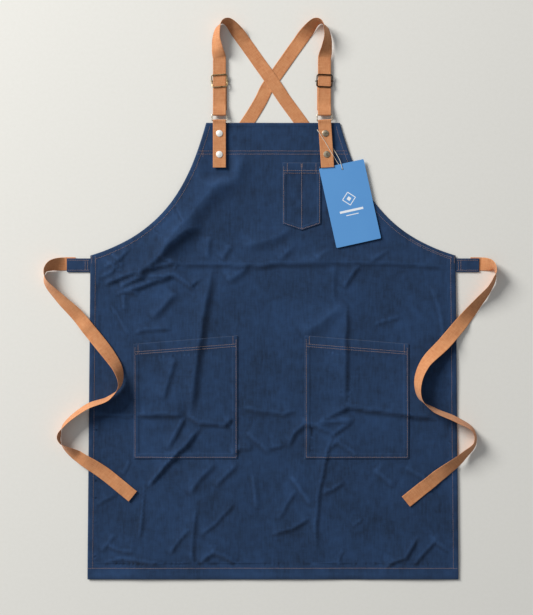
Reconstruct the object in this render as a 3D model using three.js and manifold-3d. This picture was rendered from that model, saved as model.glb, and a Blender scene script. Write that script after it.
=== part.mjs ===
// Cross-back bib apron in denim, laid flat: a one-piece panel with a faced bib, three patch
// pockets, two waist ties, and two webbing shoulder straps that cross behind the neck. Each strap
// runs through a wire slider, round a rectangular ring, and back to the slider's bar; a short
// webbing tab folded round the ring's lower bar snaps to the bib. A card tag hangs on a string.
// Millimetres, +Z up. Pattern coordinates: x from the centre line, y up from the bottom hem.
import * as THREE from "three";
import { mergeVertices } from "three/addons/utils/BufferGeometryUtils.js";
import Module from "manifold-3d";

const wasm = await Module();
wasm.setup();

// Materials' thicknesses and the clearance between pieces that touch.
const gap = 0.3;
const denim = 0.8;
const webbing = 0.9;

// The panel.
const hemWidth = 700;
const waistWidth = 689;
const bibWidth = 252;
const waistHeight = 611;
const bibHeight = 861.5;
const sideHem = 10;
const bottomHem = 22;
const facingDepth = 75;
const facingInset = 9;

// The pockets.
const pocketWidth = 196;
const pocketGap = 127;
const pocketShift = -3.5;
const pocketBottom = 228;
const pocketTopInner = 460;
const pocketTopOuter = 444;
const chestPocketWidth = 72;
const chestPocketX = 54;
const chestPocketDown = 75.5;
const chestPocketSide = 115;
const chestPocketPoint = 12;

// Waist tabs and ties.
const tieWidth = 25;
const waistTabLength = 44;
const waistTabDrop = 18;
const tieUnderTab = 16;

// Shoulder straps and their hardware.
const strapWidth = 24.5;
const strapOffset = 99;
const bibShift = -2;
const ringAboveBib = 15.2;
const ringPitch = 11.7;
const ringWire = 2;
const sliderAboveRing = 63.9;
const sliderWire = 2.2;
const sliderHalfHeight = 11.4;
const sliderTravel = 30;
const barDiameter = 2;
const barLength = 35;
const sideClearance = 0.9;
const loopFlare = 3;
const wireClearance = 0.5;
const strapEndTail = 16;
const snapTabLength = 88;
const snapTabLean = { left: 0, right: 3.8 };
const sliderTurn = { left: 4.5, right: -2.5 };

// Snap fasteners.
const snapFirst = 24;
const snapPitch = 39.5;
const snapCapRadius = 6.3;
const snapFlangeRadius = 4.5;
const snapFlange = 0.4;
const knobRadius = 2.5;
const knobHeight = 1.5;
const socketHeight = 1.2;
const socketRadius = 5.2;
const shankRadius = 1.6;

// The hang tag and its string.
const tagWidth = 86;
const tagHeight = 153;
const tagThickness = 0.6;
const tagTurn = 12.5;
const tagAside = 33.8;
const tagDown = 87.5;
const tagHoleRadius = 1.7;
const tagHoleMargin = 10;
const tagCorner = 2;
const stringDiameter = 1.1;

// Levels, from the surface that the apron lies on, worked out from the thicknesses.
const postLevel = webbing + gap;
const facingLevel = postLevel + snapFlange + gap;
const sheetLevel = facingLevel + denim + gap;
const sheetTop = sheetLevel + denim;
const pocketLevel = sheetTop + gap;
const overPocket = pocketLevel + denim + gap;
const studLevel = sheetTop + gap;
const socketLevel = studLevel + snapFlange + gap;
const tabLevel = socketLevel + socketHeight + gap;
const tabTop = tabLevel + 2 * webbing;
const capLevel = tabTop + gap;
const ringLevel = (tabLevel + tabTop) / 2;
const tagLevel = sheetTop + 2 * gap + Math.max(stringDiameter, denim + gap);

// Loops of webbing round a wire: the ring's, and the tighter one sewn on the slider's bar.
const ringLoop = ringWire / 2 + wireClearance + webbing;
const barLoop = barDiameter / 2 + gap + webbing;
const barLevel = barLoop;
const strapLevel = barLevel + barLoop + gap;

// Places that follow the bib and the waist.
const ringUpper = bibHeight + ringAboveBib;
const sliderHeight = ringUpper + sliderAboveRing;
const tabMiddle = waistHeight - waistTabDrop;
const chestPocketTop = bibHeight - chestPocketDown;
const tagHoleX = bibShift + strapOffset + tagAside;
const tagHoleY = bibHeight - tagDown;

// The overall length sets the origin, the middle of the footprint.
const crestAboveSlider = 115.9;
const originY = (sliderHeight + crestAboveSlider) / 2;

const denimBlue = { color: 0x243f6a, roughness: 0.92, metalness: 0 };
const tanWebbing = { color: 0xcd8a58, roughness: 0.88, metalness: 0 };
const antiqueBrass = { color: 0x8d7446, roughness: 0.38, metalness: 0.9 };
const blueCard = { color: 0x5c9bd9, roughness: 0.7, metalness: 0 };
const twine = { color: 0xe6dfd0, roughness: 0.9, metalness: 0 };

const X = new THREE.Vector3(1, 0, 0);
const Y = new THREE.Vector3(0, 1, 0);
const Z = new THREE.Vector3(0, 0, 1);
const radians = THREE.MathUtils.degToRad;

const apron = new THREE.Group();
const cloth = new THREE.Group();
cloth.position.y = -originY;
apron.add(cloth);

function addMesh(parent, name, geometry, look) {
  const mesh = new THREE.Mesh(geometry, new THREE.MeshStandardMaterial(look));
  mesh.name = name;
  parent.add(mesh);
  return mesh;
}

// ---- Shared shapes ----

function indexedGeometry(positions, triangles) {
  const geometry = new THREE.BufferGeometry();
  geometry.setAttribute("position", new THREE.Float32BufferAttribute(positions, 3));
  geometry.setIndex(triangles);
  return geometry;
}

function slab(shape, level, thickness) {
  const geometry = new THREE.ExtrudeGeometry(shape, {
    depth: thickness,
    bevelEnabled: false,
    curveSegments: 20,
  });
  return geometry.translate(0, 0, level);
}

function polygon(points) {
  return new THREE.Shape(points.map(([x, y]) => new THREE.Vector2(x, y)));
}

function roundHole(x, y, radius) {
  const hole = new THREE.Path();
  hole.absarc(x, y, radius, 0, 2 * Math.PI, true);
  return hole;
}

// A flat strip swept along stations, each a centre and the unit vectors along and across it. Its
// two faces are split along the same diagonals, so that they stay apart where the strip twists.
function ribbon(stations, width, thickness) {
  const positions = [];
  const triangles = [];
  for (const { at, along, across } of stations) {
    const normal = across.clone().cross(along).normalize();
    for (const [a, n] of [[-1, -1], [1, -1], [1, 1], [-1, 1]]) {
      const corner = at.clone().addScaledVector(across, (a * width) / 2);
      positions.push(...corner.addScaledVector(normal, (n * thickness) / 2));
    }
  }
  for (let i = 0; i + 1 < stations.length; i++) {
    for (let k = 0; k < 4; k++) {
      const a = 4 * i + k;
      const b = 4 * i + ((k + 1) % 4);
      if (k === 2) triangles.push(a, a + 4, b, b, a + 4, b + 4);
      else triangles.push(a, a + 4, b + 4, a, b + 4, b);
    }
  }
  const end = 4 * (stations.length - 1);
  triangles.push(0, 1, 2, 0, 2, 3, end, end + 2, end + 1, end, end + 3, end + 2);
  return indexedGeometry(positions, triangles);
}

// Stations along a hand-laid route of [x, y, base, twist]. Twist 0 lies flat, 90 stands on edge
// and 180 lies flat with the other face up; base is the height that the lower edge rests at.
function twistedRoute(route, width, thickness, steps) {
  const plan = new THREE.CatmullRomCurve3(route.map(([x, y]) => new THREE.Vector3(x, y, 0)));
  const lift = new THREE.CatmullRomCurve3(
    route.map(([, , base, twist]) => new THREE.Vector3(base, twist, 0)),
    false,
    "chordal",
  );
  const centre = (t) => {
    const { x: base, y: twist } = lift.getPoint(t);
    const lean = radians(twist);
    const rise = (width * Math.abs(Math.sin(lean)) + thickness * Math.abs(Math.cos(lean))) / 2;
    return plan.getPoint(t).setZ(Math.max(0, base) + rise);
  };
  const stations = [];
  for (let i = 0; i <= steps; i++) {
    const t = i / steps;
    const step = 0.25 / steps;
    const along = centre(Math.min(1, t + step)).sub(centre(Math.max(0, t - step))).normalize();
    const lean = radians(lift.getPoint(t).y);
    const right = along.clone().cross(Z).normalize();
    const up = right.clone().cross(along);
    const across = right.multiplyScalar(Math.cos(lean)).addScaledVector(up, Math.sin(lean));
    stations.push({ at: centre(t), along, across });
  }
  return stations;
}

// A wire bent into a rounded rectangle about the origin; its ends arch up by the given rise.
function wireLoop(halfX, halfY, corner, radius, rise) {
  const sides = 10;
  const arcSteps = 4;
  const points = [];
  for (let quarter = 0; quarter < 4; quarter++) {
    const sx = quarter === 0 || quarter === 3 ? 1 : -1;
    const sy = quarter < 2 ? 1 : -1;
    for (let i = 0; i <= arcSteps; i++) {
      const angle = ((quarter + i / arcSteps) * Math.PI) / 2;
      const x = sx * (halfX - corner) + corner * Math.cos(angle);
      const y = sy * (halfY - corner) + corner * Math.sin(angle);
      points.push(new THREE.Vector3(x, y, rise * (y / halfY) ** 2));
    }
    if (quarter % 2 === 1) points.push(new THREE.Vector3(sx * halfX, 0, 0));
  }
  const positions = [];
  const triangles = [];
  const count = points.length;
  points.forEach((point, i) => {
    const along = points[(i + 1) % count].clone().sub(points[(i + count - 1) % count]);
    const out = along.cross(Z).normalize();
    for (let k = 0; k < sides; k++) {
      const angle = (2 * Math.PI * k) / sides;
      const offset = out.clone().multiplyScalar(Math.cos(angle)).addScaledVector(Z, Math.sin(angle));
      positions.push(...point.clone().addScaledVector(offset, radius));
      const a = i * sides + k;
      const b = i * sides + ((k + 1) % sides);
      const c = ((i + 1) % count) * sides + k;
      const d = ((i + 1) % count) * sides + ((k + 1) % sides);
      triangles.push(a, c, d, a, d, b);
    }
  });
  return indexedGeometry(positions, triangles);
}

// A side profile, drawn as (y, z), given a width along X.
function acrossProfile(shape, width) {
  const geometry = new THREE.ExtrudeGeometry(shape, {
    depth: width,
    bevelEnabled: false,
    curveSegments: 10,
  });
  geometry.applyMatrix4(new THREE.Matrix4().makeBasis(Y, Z, X));
  return geometry.translate(-width / 2, 0, 0);
}

// Webbing looped round a bar at the origin, its two layers running off towards -Y.
function loopProfile(outer, tail, top, bottom) {
  const flare = loopFlare * outer;
  const shape = new THREE.Shape();
  shape.moveTo(-tail, bottom);
  shape.lineTo(-flare, bottom);
  shape.lineTo(0, -outer);
  shape.absarc(0, 0, outer, -Math.PI / 2, Math.PI / 2, false);
  shape.lineTo(-flare, top);
  shape.lineTo(-tail, top);
  shape.holes.push(roundHole(0, 0, outer - webbing));
  return shape;
}

function turned(profile, segments = 20) {
  const points = profile.map(([r, z]) => new THREE.Vector2(r, z));
  return new THREE.LatheGeometry(points, segments).rotateX(Math.PI / 2);
}

function toManifold(geometry) {
  const bare = geometry.clone();
  bare.deleteAttribute("normal");
  bare.deleteAttribute("uv");
  const merged = mergeVertices(bare, 1e-4);
  return new wasm.Manifold(
    new wasm.Mesh({
      numProp: 3,
      vertProperties: new Float32Array(merged.attributes.position.array),
      triVerts: new Uint32Array(merged.index.array),
    }),
  );
}

function fromManifold(solid) {
  const mesh = solid.getMesh();
  return indexedGeometry(Array.from(mesh.vertProperties), Array.from(mesh.triVerts));
}

// ---- Panel, facing and pockets ----

// Snap positions in pattern coordinates, for one side.
function snapPlaces(side) {
  const sign = side === "left" ? -1 : 1;
  const lean = radians(snapTabLean[side]);
  const top = new THREE.Vector2(bibShift + sign * strapOffset, ringUpper - ringPitch);
  return [snapFirst, snapFirst + snapPitch].map((down) =>
    top.clone().add(new THREE.Vector2(Math.sin(lean), -Math.cos(lean)).multiplyScalar(down)),
  );
}

const snapHoles = ["left", "right"].flatMap((side) =>
  snapPlaces(side).map(({ x, y }) => roundHole(x, y, shankRadius + gap)),
);

function panelShape() {
  const armholeDrop = 0.5 * (bibHeight - waistHeight);
  const armholeReach = 0.625 * (waistWidth - bibWidth) * 0.5;
  const half = { hem: hemWidth / 2, waist: waistWidth / 2, bib: bibWidth / 2 };
  const neck = [half.bib + 0.157 * (half.waist - half.bib), bibHeight - armholeDrop];
  const hip = [half.waist - armholeReach, waistHeight + 0.166 * (bibHeight - waistHeight)];
  const shape = new THREE.Shape();
  shape.moveTo(-half.hem, 0);
  shape.lineTo(half.hem, 0);
  shape.lineTo(half.waist, waistHeight);
  shape.bezierCurveTo(...hip, ...neck, half.bib, bibHeight);
  shape.lineTo(-half.bib, bibHeight);
  shape.bezierCurveTo(-neck[0], neck[1], -hip[0], hip[1], -half.waist, waistHeight);
  return shape;
}

// The hems turned under at the sides and the bottom, which the whole panel rests on.
function hemStrip() {
  const outer = polygon([
    [-hemWidth / 2, 0],
    [hemWidth / 2, 0],
    [waistWidth / 2, waistHeight],
    [waistWidth / 2 - sideHem, waistHeight],
    [hemWidth / 2 - sideHem, bottomHem],
    [-hemWidth / 2 + sideHem, bottomHem],
    [-waistWidth / 2 + sideHem, waistHeight],
    [-waistWidth / 2, waistHeight],
  ]);
  return slab(outer, 0, sheetLevel + denim / 2);
}

function addPanel() {
  const outline = panelShape();
  outline.holes.push(...snapHoles);
  const sheet = toManifold(slab(outline, sheetLevel, denim));
  addMesh(cloth, "apron_panel", fromManifold(sheet.add(toManifold(hemStrip()))), denimBlue);
}

function addFacing() {
  const half = bibWidth / 2 - facingInset;
  const low = bibHeight - facingDepth;
  const shape = polygon([[-half, low], [half, low], [half, bibHeight - 1], [-half, bibHeight - 1]]);
  shape.holes.push(...snapHoles);
  addMesh(cloth, "bib_facing", slab(shape, facingLevel, denim), denimBlue);
}

function addPockets() {
  for (const [name, sign] of [["left_pocket", -1], ["right_pocket", 1]]) {
    const inner = pocketShift + (sign * pocketGap) / 2;
    const outer = inner + sign * pocketWidth;
    const corners = [
      [inner, pocketBottom],
      [outer, pocketBottom],
      [outer, pocketTopOuter],
      [inner, pocketTopInner],
    ];
    addMesh(cloth, name, slab(polygon(corners), pocketLevel, denim), denimBlue);
  }
  const half = chestPocketWidth / 2;
  const low = chestPocketTop - chestPocketSide;
  const chest = polygon([
    [chestPocketX - half, low],
    [chestPocketX, low - chestPocketPoint],
    [chestPocketX + half, low],
    [chestPocketX + half, chestPocketTop],
    [chestPocketX - half, chestPocketTop],
  ]);
  addMesh(cloth, "chest_pocket", slab(chest, pocketLevel, denim), denimBlue);
}

// ---- Waist tabs and ties ----

// Each tie's route is [out, up, twist]: out is the distance beyond the waist tab's outer end
// (negative towards the panel), and up the distance above the tab's middle (negative below it).
const tieRoutes = {
  left: [
    [-tieUnderTab, 2.5, 0],
    [4, 2.5, 0],
    [29, -1, 45],
    [39.5, -12, 88],
    [38.5, -31, 115],
    [11.5, -63, 142],
    [-18.5, -93, 165],
    [-45.5, -126, 180],
    [-80.5, -169, 208],
    [-98.5, -198, 232],
    [-101.5, -227, 264],
    [-80.5, -250, 286],
    [-39.5, -266, 292],
    [4.5, -301, 284],
    [13.5, -322, 263],
    [9.5, -336, 276],
    [-18.5, -358, 332],
    [-67.5, -390, 358],
    [-124.5, -436, 360],
  ],
  right: [
    [-tieUnderTab, 2.5, 0],
    [4, 2.3, 0],
    [20, 0, -38],
    [28.5, -9, -86],
    [28.5, -22, -110],
    [19, -43, -119],
    [-3.5, -71.5, -140],
    [-35.5, -111.5, -176],
    [-68.5, -149, -198],
    [-103.5, -185, -226],
    [-117, -220, -242],
    [-112.5, -251, -262],
    [-88.5, -271, -288],
    [-45.5, -290, -293],
    [-12.5, -311, -286],
    [-9.5, -335, -291],
    [-34.5, -362, -316],
    [-80.5, -399, -350],
    [-138.5, -446, -360],
  ],
};

// How high a tie rests: just over the pockets on the panel, and down to the surface beside it.
const tieDropNear = 14;
const tieDropFar = 34;
function tieBase(x, y, edge) {
  if (y > tabMiddle - 2 * tieWidth) return 0;
  const off = Math.abs(x) - edge(y);
  return overPocket * THREE.MathUtils.smoothstep(-off, -tieDropFar, -tieDropNear);
}

function addWaist(side) {
  const sign = side === "left" ? -1 : 1;
  const edge = (y) => hemWidth / 2 + ((waistWidth - hemWidth) / 2) * (y / waistHeight);
  const inner = Math.max(edge(tabMiddle - tieWidth / 2), edge(tabMiddle + tieWidth / 2)) + gap;
  const outer = inner + waistTabLength;
  const tabHeight = webbing + gap + denim;
  const tab = new THREE.BoxGeometry(waistTabLength, tieWidth, 2 * denim);
  const mesh = addMesh(cloth, `${side}_waist_tab`, tab, denimBlue);
  mesh.position.set((sign * (inner + outer)) / 2, tabMiddle, tabHeight);
  const route = tieRoutes[side].map(([out, up, twist]) => {
    const x = sign * (outer + out);
    return [x, tabMiddle + up, tieBase(x, tabMiddle + up, edge), twist];
  });
  const stations = twistedRoute(route, tieWidth, webbing, 76);
  addMesh(cloth, `${side}_waist_tie`, ribbon(stations, tieWidth, webbing), tanWebbing);
}

// ---- Shoulder straps ----

// From the slider up over the shoulder to the crossing and the bib's top: [out, up, base, twist],
// out in strap offsets from the bib's middle line towards the strap's own side, up from the
// slider. The crossing's base is what carries one strap over the other.
const crossingLift = webbing + gap;
const crossingReach = 0.6 * strapWidth;
const crossingLean = 0.007;
const strapSpread = { left: 1, right: 0.83 };
const shoulderRoute = (over, spread) => [
  [1, 43.4, strapLevel, 0],
  [1.04, 61.4, 0.8 * strapLevel, 34],
  [1.06, 81.4, 0.5 * strapLevel, 54],
  [1.025, 98.4, 1.2, 66],
  [0.94, 109.4, 0.6, 92],
  [0.835, 109.6, 0.4, 120],
  [0.665, 92.4, 0, 160],
  [0.505, 71.4, 0, 180],
  [0.24, 34.4, 0, 180],
  [crossingLean * crossingReach, 0.4 + crossingReach, over, 180],
  [-crossingLean * crossingReach, 0.4 - crossingReach, over, 180],
  [-0.25 * spread, -35.6, 0, 180],
  [-0.515 * spread, -71.6, 0, 180],
];

// Behind the panel, from the bib's top to the other side's waist corner: [across, down] as shares
// of the way between the two.
const hiddenRoute = [
  [0.27, 0.36],
  [0.5, 0.65],
  [0.73, 0.884],
  [1, 1.056],
];
const waistAnchor = 40;

// The flat run up from the ring, and the layer that turns under the ring's upper bar.
function adjusterStations(x) {
  const middle = ringLoop - webbing / 2;
  const zoneStart = sliderHeight - sliderTravel - sliderHalfHeight - 2;
  const stubEnd = sliderHeight - sliderTravel - loopFlare * barLoop - gap;
  const low = webbing / 2;
  const places = [
    [stubEnd, low],
    [ringUpper + 16, low],
  ];
  for (let i = 0; i <= 8; i++) {
    const angle = -Math.PI / 2 - (Math.PI * i) / 8;
    places.push([ringUpper + middle * Math.cos(angle), ringLevel + middle * Math.sin(angle)]);
  }
  places.push([zoneStart, strapLevel + low]);
  const points = places.map(([y, z]) => new THREE.Vector3(x, y, z));
  return points.map((at, i) => {
    const before = points[Math.max(0, i - 1)];
    const after = points[i + 1] ?? at.clone().add(Y);
    return { at, along: after.clone().sub(before).normalize(), across: X.clone() };
  });
}

function addShoulderStrap(side) {
  const sign = side === "left" ? -1 : 1;
  const over = side === "left" ? crossingLift : 0;
  const route = shoulderRoute(over, strapSpread[side]).map(([out, up, base, twist]) => [
    bibShift + sign * out * strapOffset,
    sliderHeight + up,
    base,
    -sign * twist,
  ]);
  const [startX] = route.at(-1);
  const endX = -sign * (waistWidth / 2 - waistAnchor);
  for (const [across, down] of hiddenRoute) {
    const y = bibHeight - down * (bibHeight - waistHeight);
    route.push([startX + across * (endX - startX), y, 0, -sign * 180]);
  }
  const stations = adjusterStations(bibShift + sign * strapOffset);
  stations.push(...twistedRoute(route, strapWidth, webbing, 64));
  addMesh(cloth, `${side}_shoulder_strap`, ribbon(stations, strapWidth, webbing), tanWebbing);
}

// ---- Sliders, rings and snap tabs ----

function addSlider(side) {
  const sign = side === "left" ? -1 : 1;
  const slider = new THREE.Group();
  slider.position.set(bibShift + sign * strapOffset, sliderHeight, 0);
  cloth.add(slider);
  const wire = sliderWire / 2;
  const halfX = strapWidth / 2 + sideClearance + wire;
  const sideLevel = barLevel + barDiameter / 2 + gap + wire;
  const endLevel = strapLevel + webbing + gap + wire;
  const loop = wireLoop(halfX, sliderHalfHeight, 3.4, wire, endLevel - sideLevel);
  const frame = addMesh(slider, `${side}_slider_frame`, loop, antiqueBrass);
  frame.position.z = sideLevel;
  frame.rotation.z = radians(sliderTurn[side]);
  const rod = new THREE.CapsuleGeometry(barDiameter / 2, barLength - barDiameter, 3, 10);
  const bar = addMesh(slider, `${side}_slider_bar`, rod.rotateZ(Math.PI / 2), antiqueBrass);
  bar.position.z = barLevel;
  const tailTop = 2 * webbing + gap - barLevel;
  const profile = loopProfile(barLoop, strapEndTail, tailTop, tailTop - webbing);
  const end = addMesh(slider, `${side}_strap_end`, acrossProfile(profile, strapWidth), tanWebbing);
  end.position.z = barLevel;
}

function addRingAndTab(side) {
  const sign = side === "left" ? -1 : 1;
  const x = bibShift + sign * strapOffset;
  const lean = radians(snapTabLean[side]);
  const halfX = strapWidth / 2 + sideClearance + ringWire / 2;
  const loop = wireLoop(halfX, ringPitch / 2, 1.6, ringWire / 2, 0);
  const ring = addMesh(cloth, `${side}_ring`, loop.translate(0, -ringPitch / 2, 0), antiqueBrass);
  ring.position.set(x, ringUpper, ringLevel);
  ring.rotation.z = lean / 2;

  const tab = new THREE.Group();
  tab.position.set(x, ringUpper - ringPitch, 0);
  tab.rotation.z = lean;
  cloth.add(tab);
  let solid = toManifold(acrossProfile(loopProfile(ringLoop, snapTabLength, webbing, -webbing), strapWidth));
  const drill = new THREE.CylinderGeometry(shankRadius + gap, shankRadius + gap, 6, 20);
  drill.rotateX(Math.PI / 2);
  const names = ["upper", "lower"];
  [snapFirst, snapFirst + snapPitch].forEach((down, i) => {
    solid = solid.subtract(toManifold(drill.clone().translate(0, -down, 0)));
    addSnapTop(tab, `${side}_${names[i]}_snap`, -down);
  });
  const mesh = addMesh(tab, `${side}_snap_tab`, fromManifold(solid), tanWebbing);
  mesh.position.z = ringLevel;
}

// The cap with its shank through the tab, and the socket under the tab.
function addSnapTop(tab, name, y) {
  const crown = capLevel + 1.6;
  const cap = turned([
    [0, tabLevel],
    [shankRadius, tabLevel],
    [shankRadius, capLevel],
    [snapCapRadius, capLevel],
    [snapCapRadius, capLevel + 0.5],
    [snapCapRadius * 0.9, crown - 0.5],
    [snapCapRadius * 0.7, crown - 0.15],
    [snapCapRadius * 0.35, crown - 0.02],
    [0, crown],
  ]);
  addMesh(tab, `${name}_cap`, cap, antiqueBrass).position.y = y;
  const inner = knobRadius + gap;
  const socket = turned([
    [inner, socketLevel],
    [socketRadius, socketLevel],
    [socketRadius, socketLevel + socketHeight],
    [inner, socketLevel + socketHeight],
    [inner, socketLevel],
  ]);
  addMesh(tab, `${name}_socket`, socket, antiqueBrass).position.y = y;
}

// The stud on the bib's face, and the post whose shank comes up through the facing and panel.
function addSnapBottom(side) {
  const names = ["upper", "lower"];
  snapPlaces(side).forEach(({ x, y }, i) => {
    const shankTop = studLevel + snapFlange + 0.4;
    const knobTop = studLevel + snapFlange + knobHeight;
    const post = turned([
      [0, postLevel],
      [snapFlangeRadius, postLevel],
      [snapFlangeRadius, postLevel + snapFlange],
      [shankRadius, postLevel + snapFlange],
      [shankRadius, shankTop],
      [0, shankTop],
    ]);
    addMesh(cloth, `${side}_${names[i]}_snap_post`, post, antiqueBrass).position.set(x, y, 0);
    const stud = turned([
      [0, shankTop + gap],
      [shankRadius + gap, shankTop + gap],
      [shankRadius + gap, studLevel],
      [snapFlangeRadius, studLevel],
      [snapFlangeRadius, studLevel + snapFlange],
      [knobRadius - 0.3, studLevel + snapFlange],
      [knobRadius, knobTop - 0.4],
      [knobRadius - 0.4, knobTop],
      [0, knobTop],
    ]);
    addMesh(cloth, `${side}_${names[i]}_snap_stud`, stud, antiqueBrass).position.set(x, y, 0);
  });
}

// ---- Hang tag and string ----

function addHangTag() {
  const left = -tagWidth / 2;
  const right = tagWidth / 2;
  const top = tagHoleMargin;
  const bottom = tagHoleMargin - tagHeight;
  const r = tagCorner;
  const shape = new THREE.Shape();
  shape.moveTo(left + r, bottom);
  shape.absarc(right - r, bottom + r, r, -Math.PI / 2, 0, false);
  shape.absarc(right - r, top - r, r, 0, Math.PI / 2, false);
  shape.absarc(left + r, top - r, r, Math.PI / 2, Math.PI, false);
  shape.absarc(left + r, bottom + r, r, Math.PI, 1.5 * Math.PI, false);
  shape.holes.push(roundHole(0, 0, tagHoleRadius));
  const tag = addMesh(cloth, "hang_tag", slab(shape, tagLevel, tagThickness), blueCard);
  tag.position.set(tagHoleX, tagHoleY, 0);
  tag.rotation.z = radians(tagTurn);
}

// The string's route from the tag's hole: up through it, behind the tab, round its left edge,
// across its face between the snaps, and back behind the card to the hole.
const stringRadius = stringDiameter / 2;
const underTab = (sheetTop + tabLevel) / 2;
const onTab = tabTop + gap + stringRadius;
const onTag = tagLevel + tagThickness + gap + stringRadius;
const underTag = tagLevel - gap - stringRadius;
const stringRoute = [
  [0.4, -0.8, 5.1],
  [0.1, -0.3, 6.5],
  [-2.3, 3, onTag],
  [-8.8, 16, onTag],
  [-13.8, 28, 6.4],
  [-16.3, 37, 5.3],
  [-22.8, 46, underTab],
  [-32.8, 57.5, underTab],
  [-42.8, 69, underTab],
  [-46.4, 73.6, 5.6],
  [-47.6, 74, 7.2],
  [-46.2, 71.6, 8.5],
  [-42.8, 66.5, onTab],
  [-33.8, 52.5, onTab],
  [-20.8, 32.5, onTab],
  [-16.2, 26, 8.4],
  [-14.6, 23.6, 6.9],
  [-12.8, 21, 5.5],
  [-9.3, 15, underTag],
  [-1.8, 2, underTag],
];

function addTagString() {
  const hole = new THREE.Vector3(tagHoleX, tagHoleY, 0);
  const places = stringRoute.map(([x, y, z]) => new THREE.Vector3(x, y, z).add(hole));
  const route = new THREE.CatmullRomCurve3(places);
  const section = new THREE.Shape();
  section.absarc(0, 0, stringRadius, 0, 2 * Math.PI, false);
  const geometry = new THREE.ExtrudeGeometry(section, {
    steps: 78,
    curveSegments: 8,
    extrudePath: route,
  });
  addMesh(cloth, "tag_string", geometry, twine);
}

addPanel();
addFacing();
addPockets();
for (const side of ["left", "right"]) {
  addWaist(side);
  addShoulderStrap(side);
  addSlider(side);
  addRingAndTab(side);
  addSnapBottom(side);
}
addHangTag();
addTagString();

export default apron;
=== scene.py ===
"""A cross-back bib apron in denim, laid flat, with its straps, pockets, hardware and hang tag.

The frame is in metres. The cloth is worked out in the pattern's own millimetres: x from the
centre line, y up from the bottom hem, z up from the surface that the apron lies on.
"""

import math
import random

import bmesh
import bpy
from mathutils import Matrix, Vector, noise
from mathutils.geometry import delaunay_2d_cdt


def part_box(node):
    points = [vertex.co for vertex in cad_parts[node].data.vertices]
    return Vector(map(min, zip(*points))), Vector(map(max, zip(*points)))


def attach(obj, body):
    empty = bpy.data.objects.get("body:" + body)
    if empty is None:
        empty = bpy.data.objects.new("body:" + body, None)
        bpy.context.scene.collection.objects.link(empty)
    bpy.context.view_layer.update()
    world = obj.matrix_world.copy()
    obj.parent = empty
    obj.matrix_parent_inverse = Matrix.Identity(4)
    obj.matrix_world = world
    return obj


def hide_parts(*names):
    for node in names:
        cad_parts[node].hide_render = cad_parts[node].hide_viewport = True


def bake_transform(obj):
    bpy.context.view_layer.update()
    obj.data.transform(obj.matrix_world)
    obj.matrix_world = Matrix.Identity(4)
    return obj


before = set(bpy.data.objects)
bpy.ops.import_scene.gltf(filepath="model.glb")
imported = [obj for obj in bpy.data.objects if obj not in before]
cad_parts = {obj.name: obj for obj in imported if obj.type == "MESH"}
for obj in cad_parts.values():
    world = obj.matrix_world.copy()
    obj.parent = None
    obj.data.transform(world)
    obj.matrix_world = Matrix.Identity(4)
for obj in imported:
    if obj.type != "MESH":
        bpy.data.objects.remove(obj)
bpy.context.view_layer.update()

MM = 0.001
SIDES = (("left", -1), ("right", 1))

# Sizes taken from the frame.
panel_low, panel_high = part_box("apron_panel")
HEM_Y = panel_low.y
hem_half = panel_high.x / MM
bib_height = (panel_high.y - HEM_Y) / MM
sheet_top = panel_high.z / MM
facing_low, facing_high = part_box("bib_facing")
facing_half = facing_high.x / MM
facing_bottom = (facing_low.y - HEM_Y) / MM
facing_mid = (facing_low.z + facing_high.z) / 2 / MM
strap_low, strap_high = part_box("left_snap_tab")
strap_width = (strap_high.x - strap_low.x) / MM
bar_low, bar_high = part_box("left_slider_bar")
bar_radius = (bar_high.z - bar_low.z) / 2 / MM
bar_level = (bar_high.z + bar_low.z) / 2 / MM
slider_height = ((bar_low.y + bar_high.y) / 2 - HEM_Y) / MM
strap_x = {
    side: sum(v.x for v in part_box(f"{side}_slider_bar")) / 2 / MM for side, _ in SIDES
}
bib_shift = (strap_x["left"] + strap_x["right"]) / 2
strap_offset = (strap_x["right"] - strap_x["left"]) / 2
tab_low, tab_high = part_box("right_waist_tab")
tab_middle = ((tab_low.y + tab_high.y) / 2 - HEM_Y) / MM

# Sizes of the pattern.
denim = 0.8
webbing = 0.9
gap = 0.3
waist_half = 344.5
waist_height = tab_middle + 18
bib_half = 126
side_hem = 10
bottom_hem = 22
armhole_hem = 9
bib_hem = 7
tie_width = 25
slider_travel = 30
slider_half_height = 11.4
ring_wire = 2
ring_pitch = 11.7
ring_upper = slider_height - 63.9
snap_down = (24, 63.5)
tab_length = 88
tab_lean = {"left": 0, "right": 3.8}
slider_turn = {"left": 4.5, "right": -2.5}
loop_radius = ring_wire / 2 + 0.5 + webbing / 2
strap_level = 2 * (bar_radius + gap + webbing) + gap
cap_radius = 6.3
hole_x = bib_shift + strap_offset + 33.8
hole_y = bib_height - 87.5


def place(x, y, z=0.0):
    """A point of the pattern, in the frame."""
    return Vector((x * MM, HEM_Y + y * MM, z * MM))


def smooth(low, high, value):
    t = min(1.0, max(0.0, (value - low) / (high - low)))
    return t * t * (3 - 2 * t)


def srgb(red, green, blue):
    """A colour in linear light, from display values of 0 to 255."""
    shares = [v / 255 for v in (red, green, blue)]
    linear = [v / 12.92 if v < 0.04045 else ((v + 0.055) / 1.055) ** 2.4 for v in shares]
    return (*linear, 1.0)


# ---- How the cloth lies ----

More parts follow.
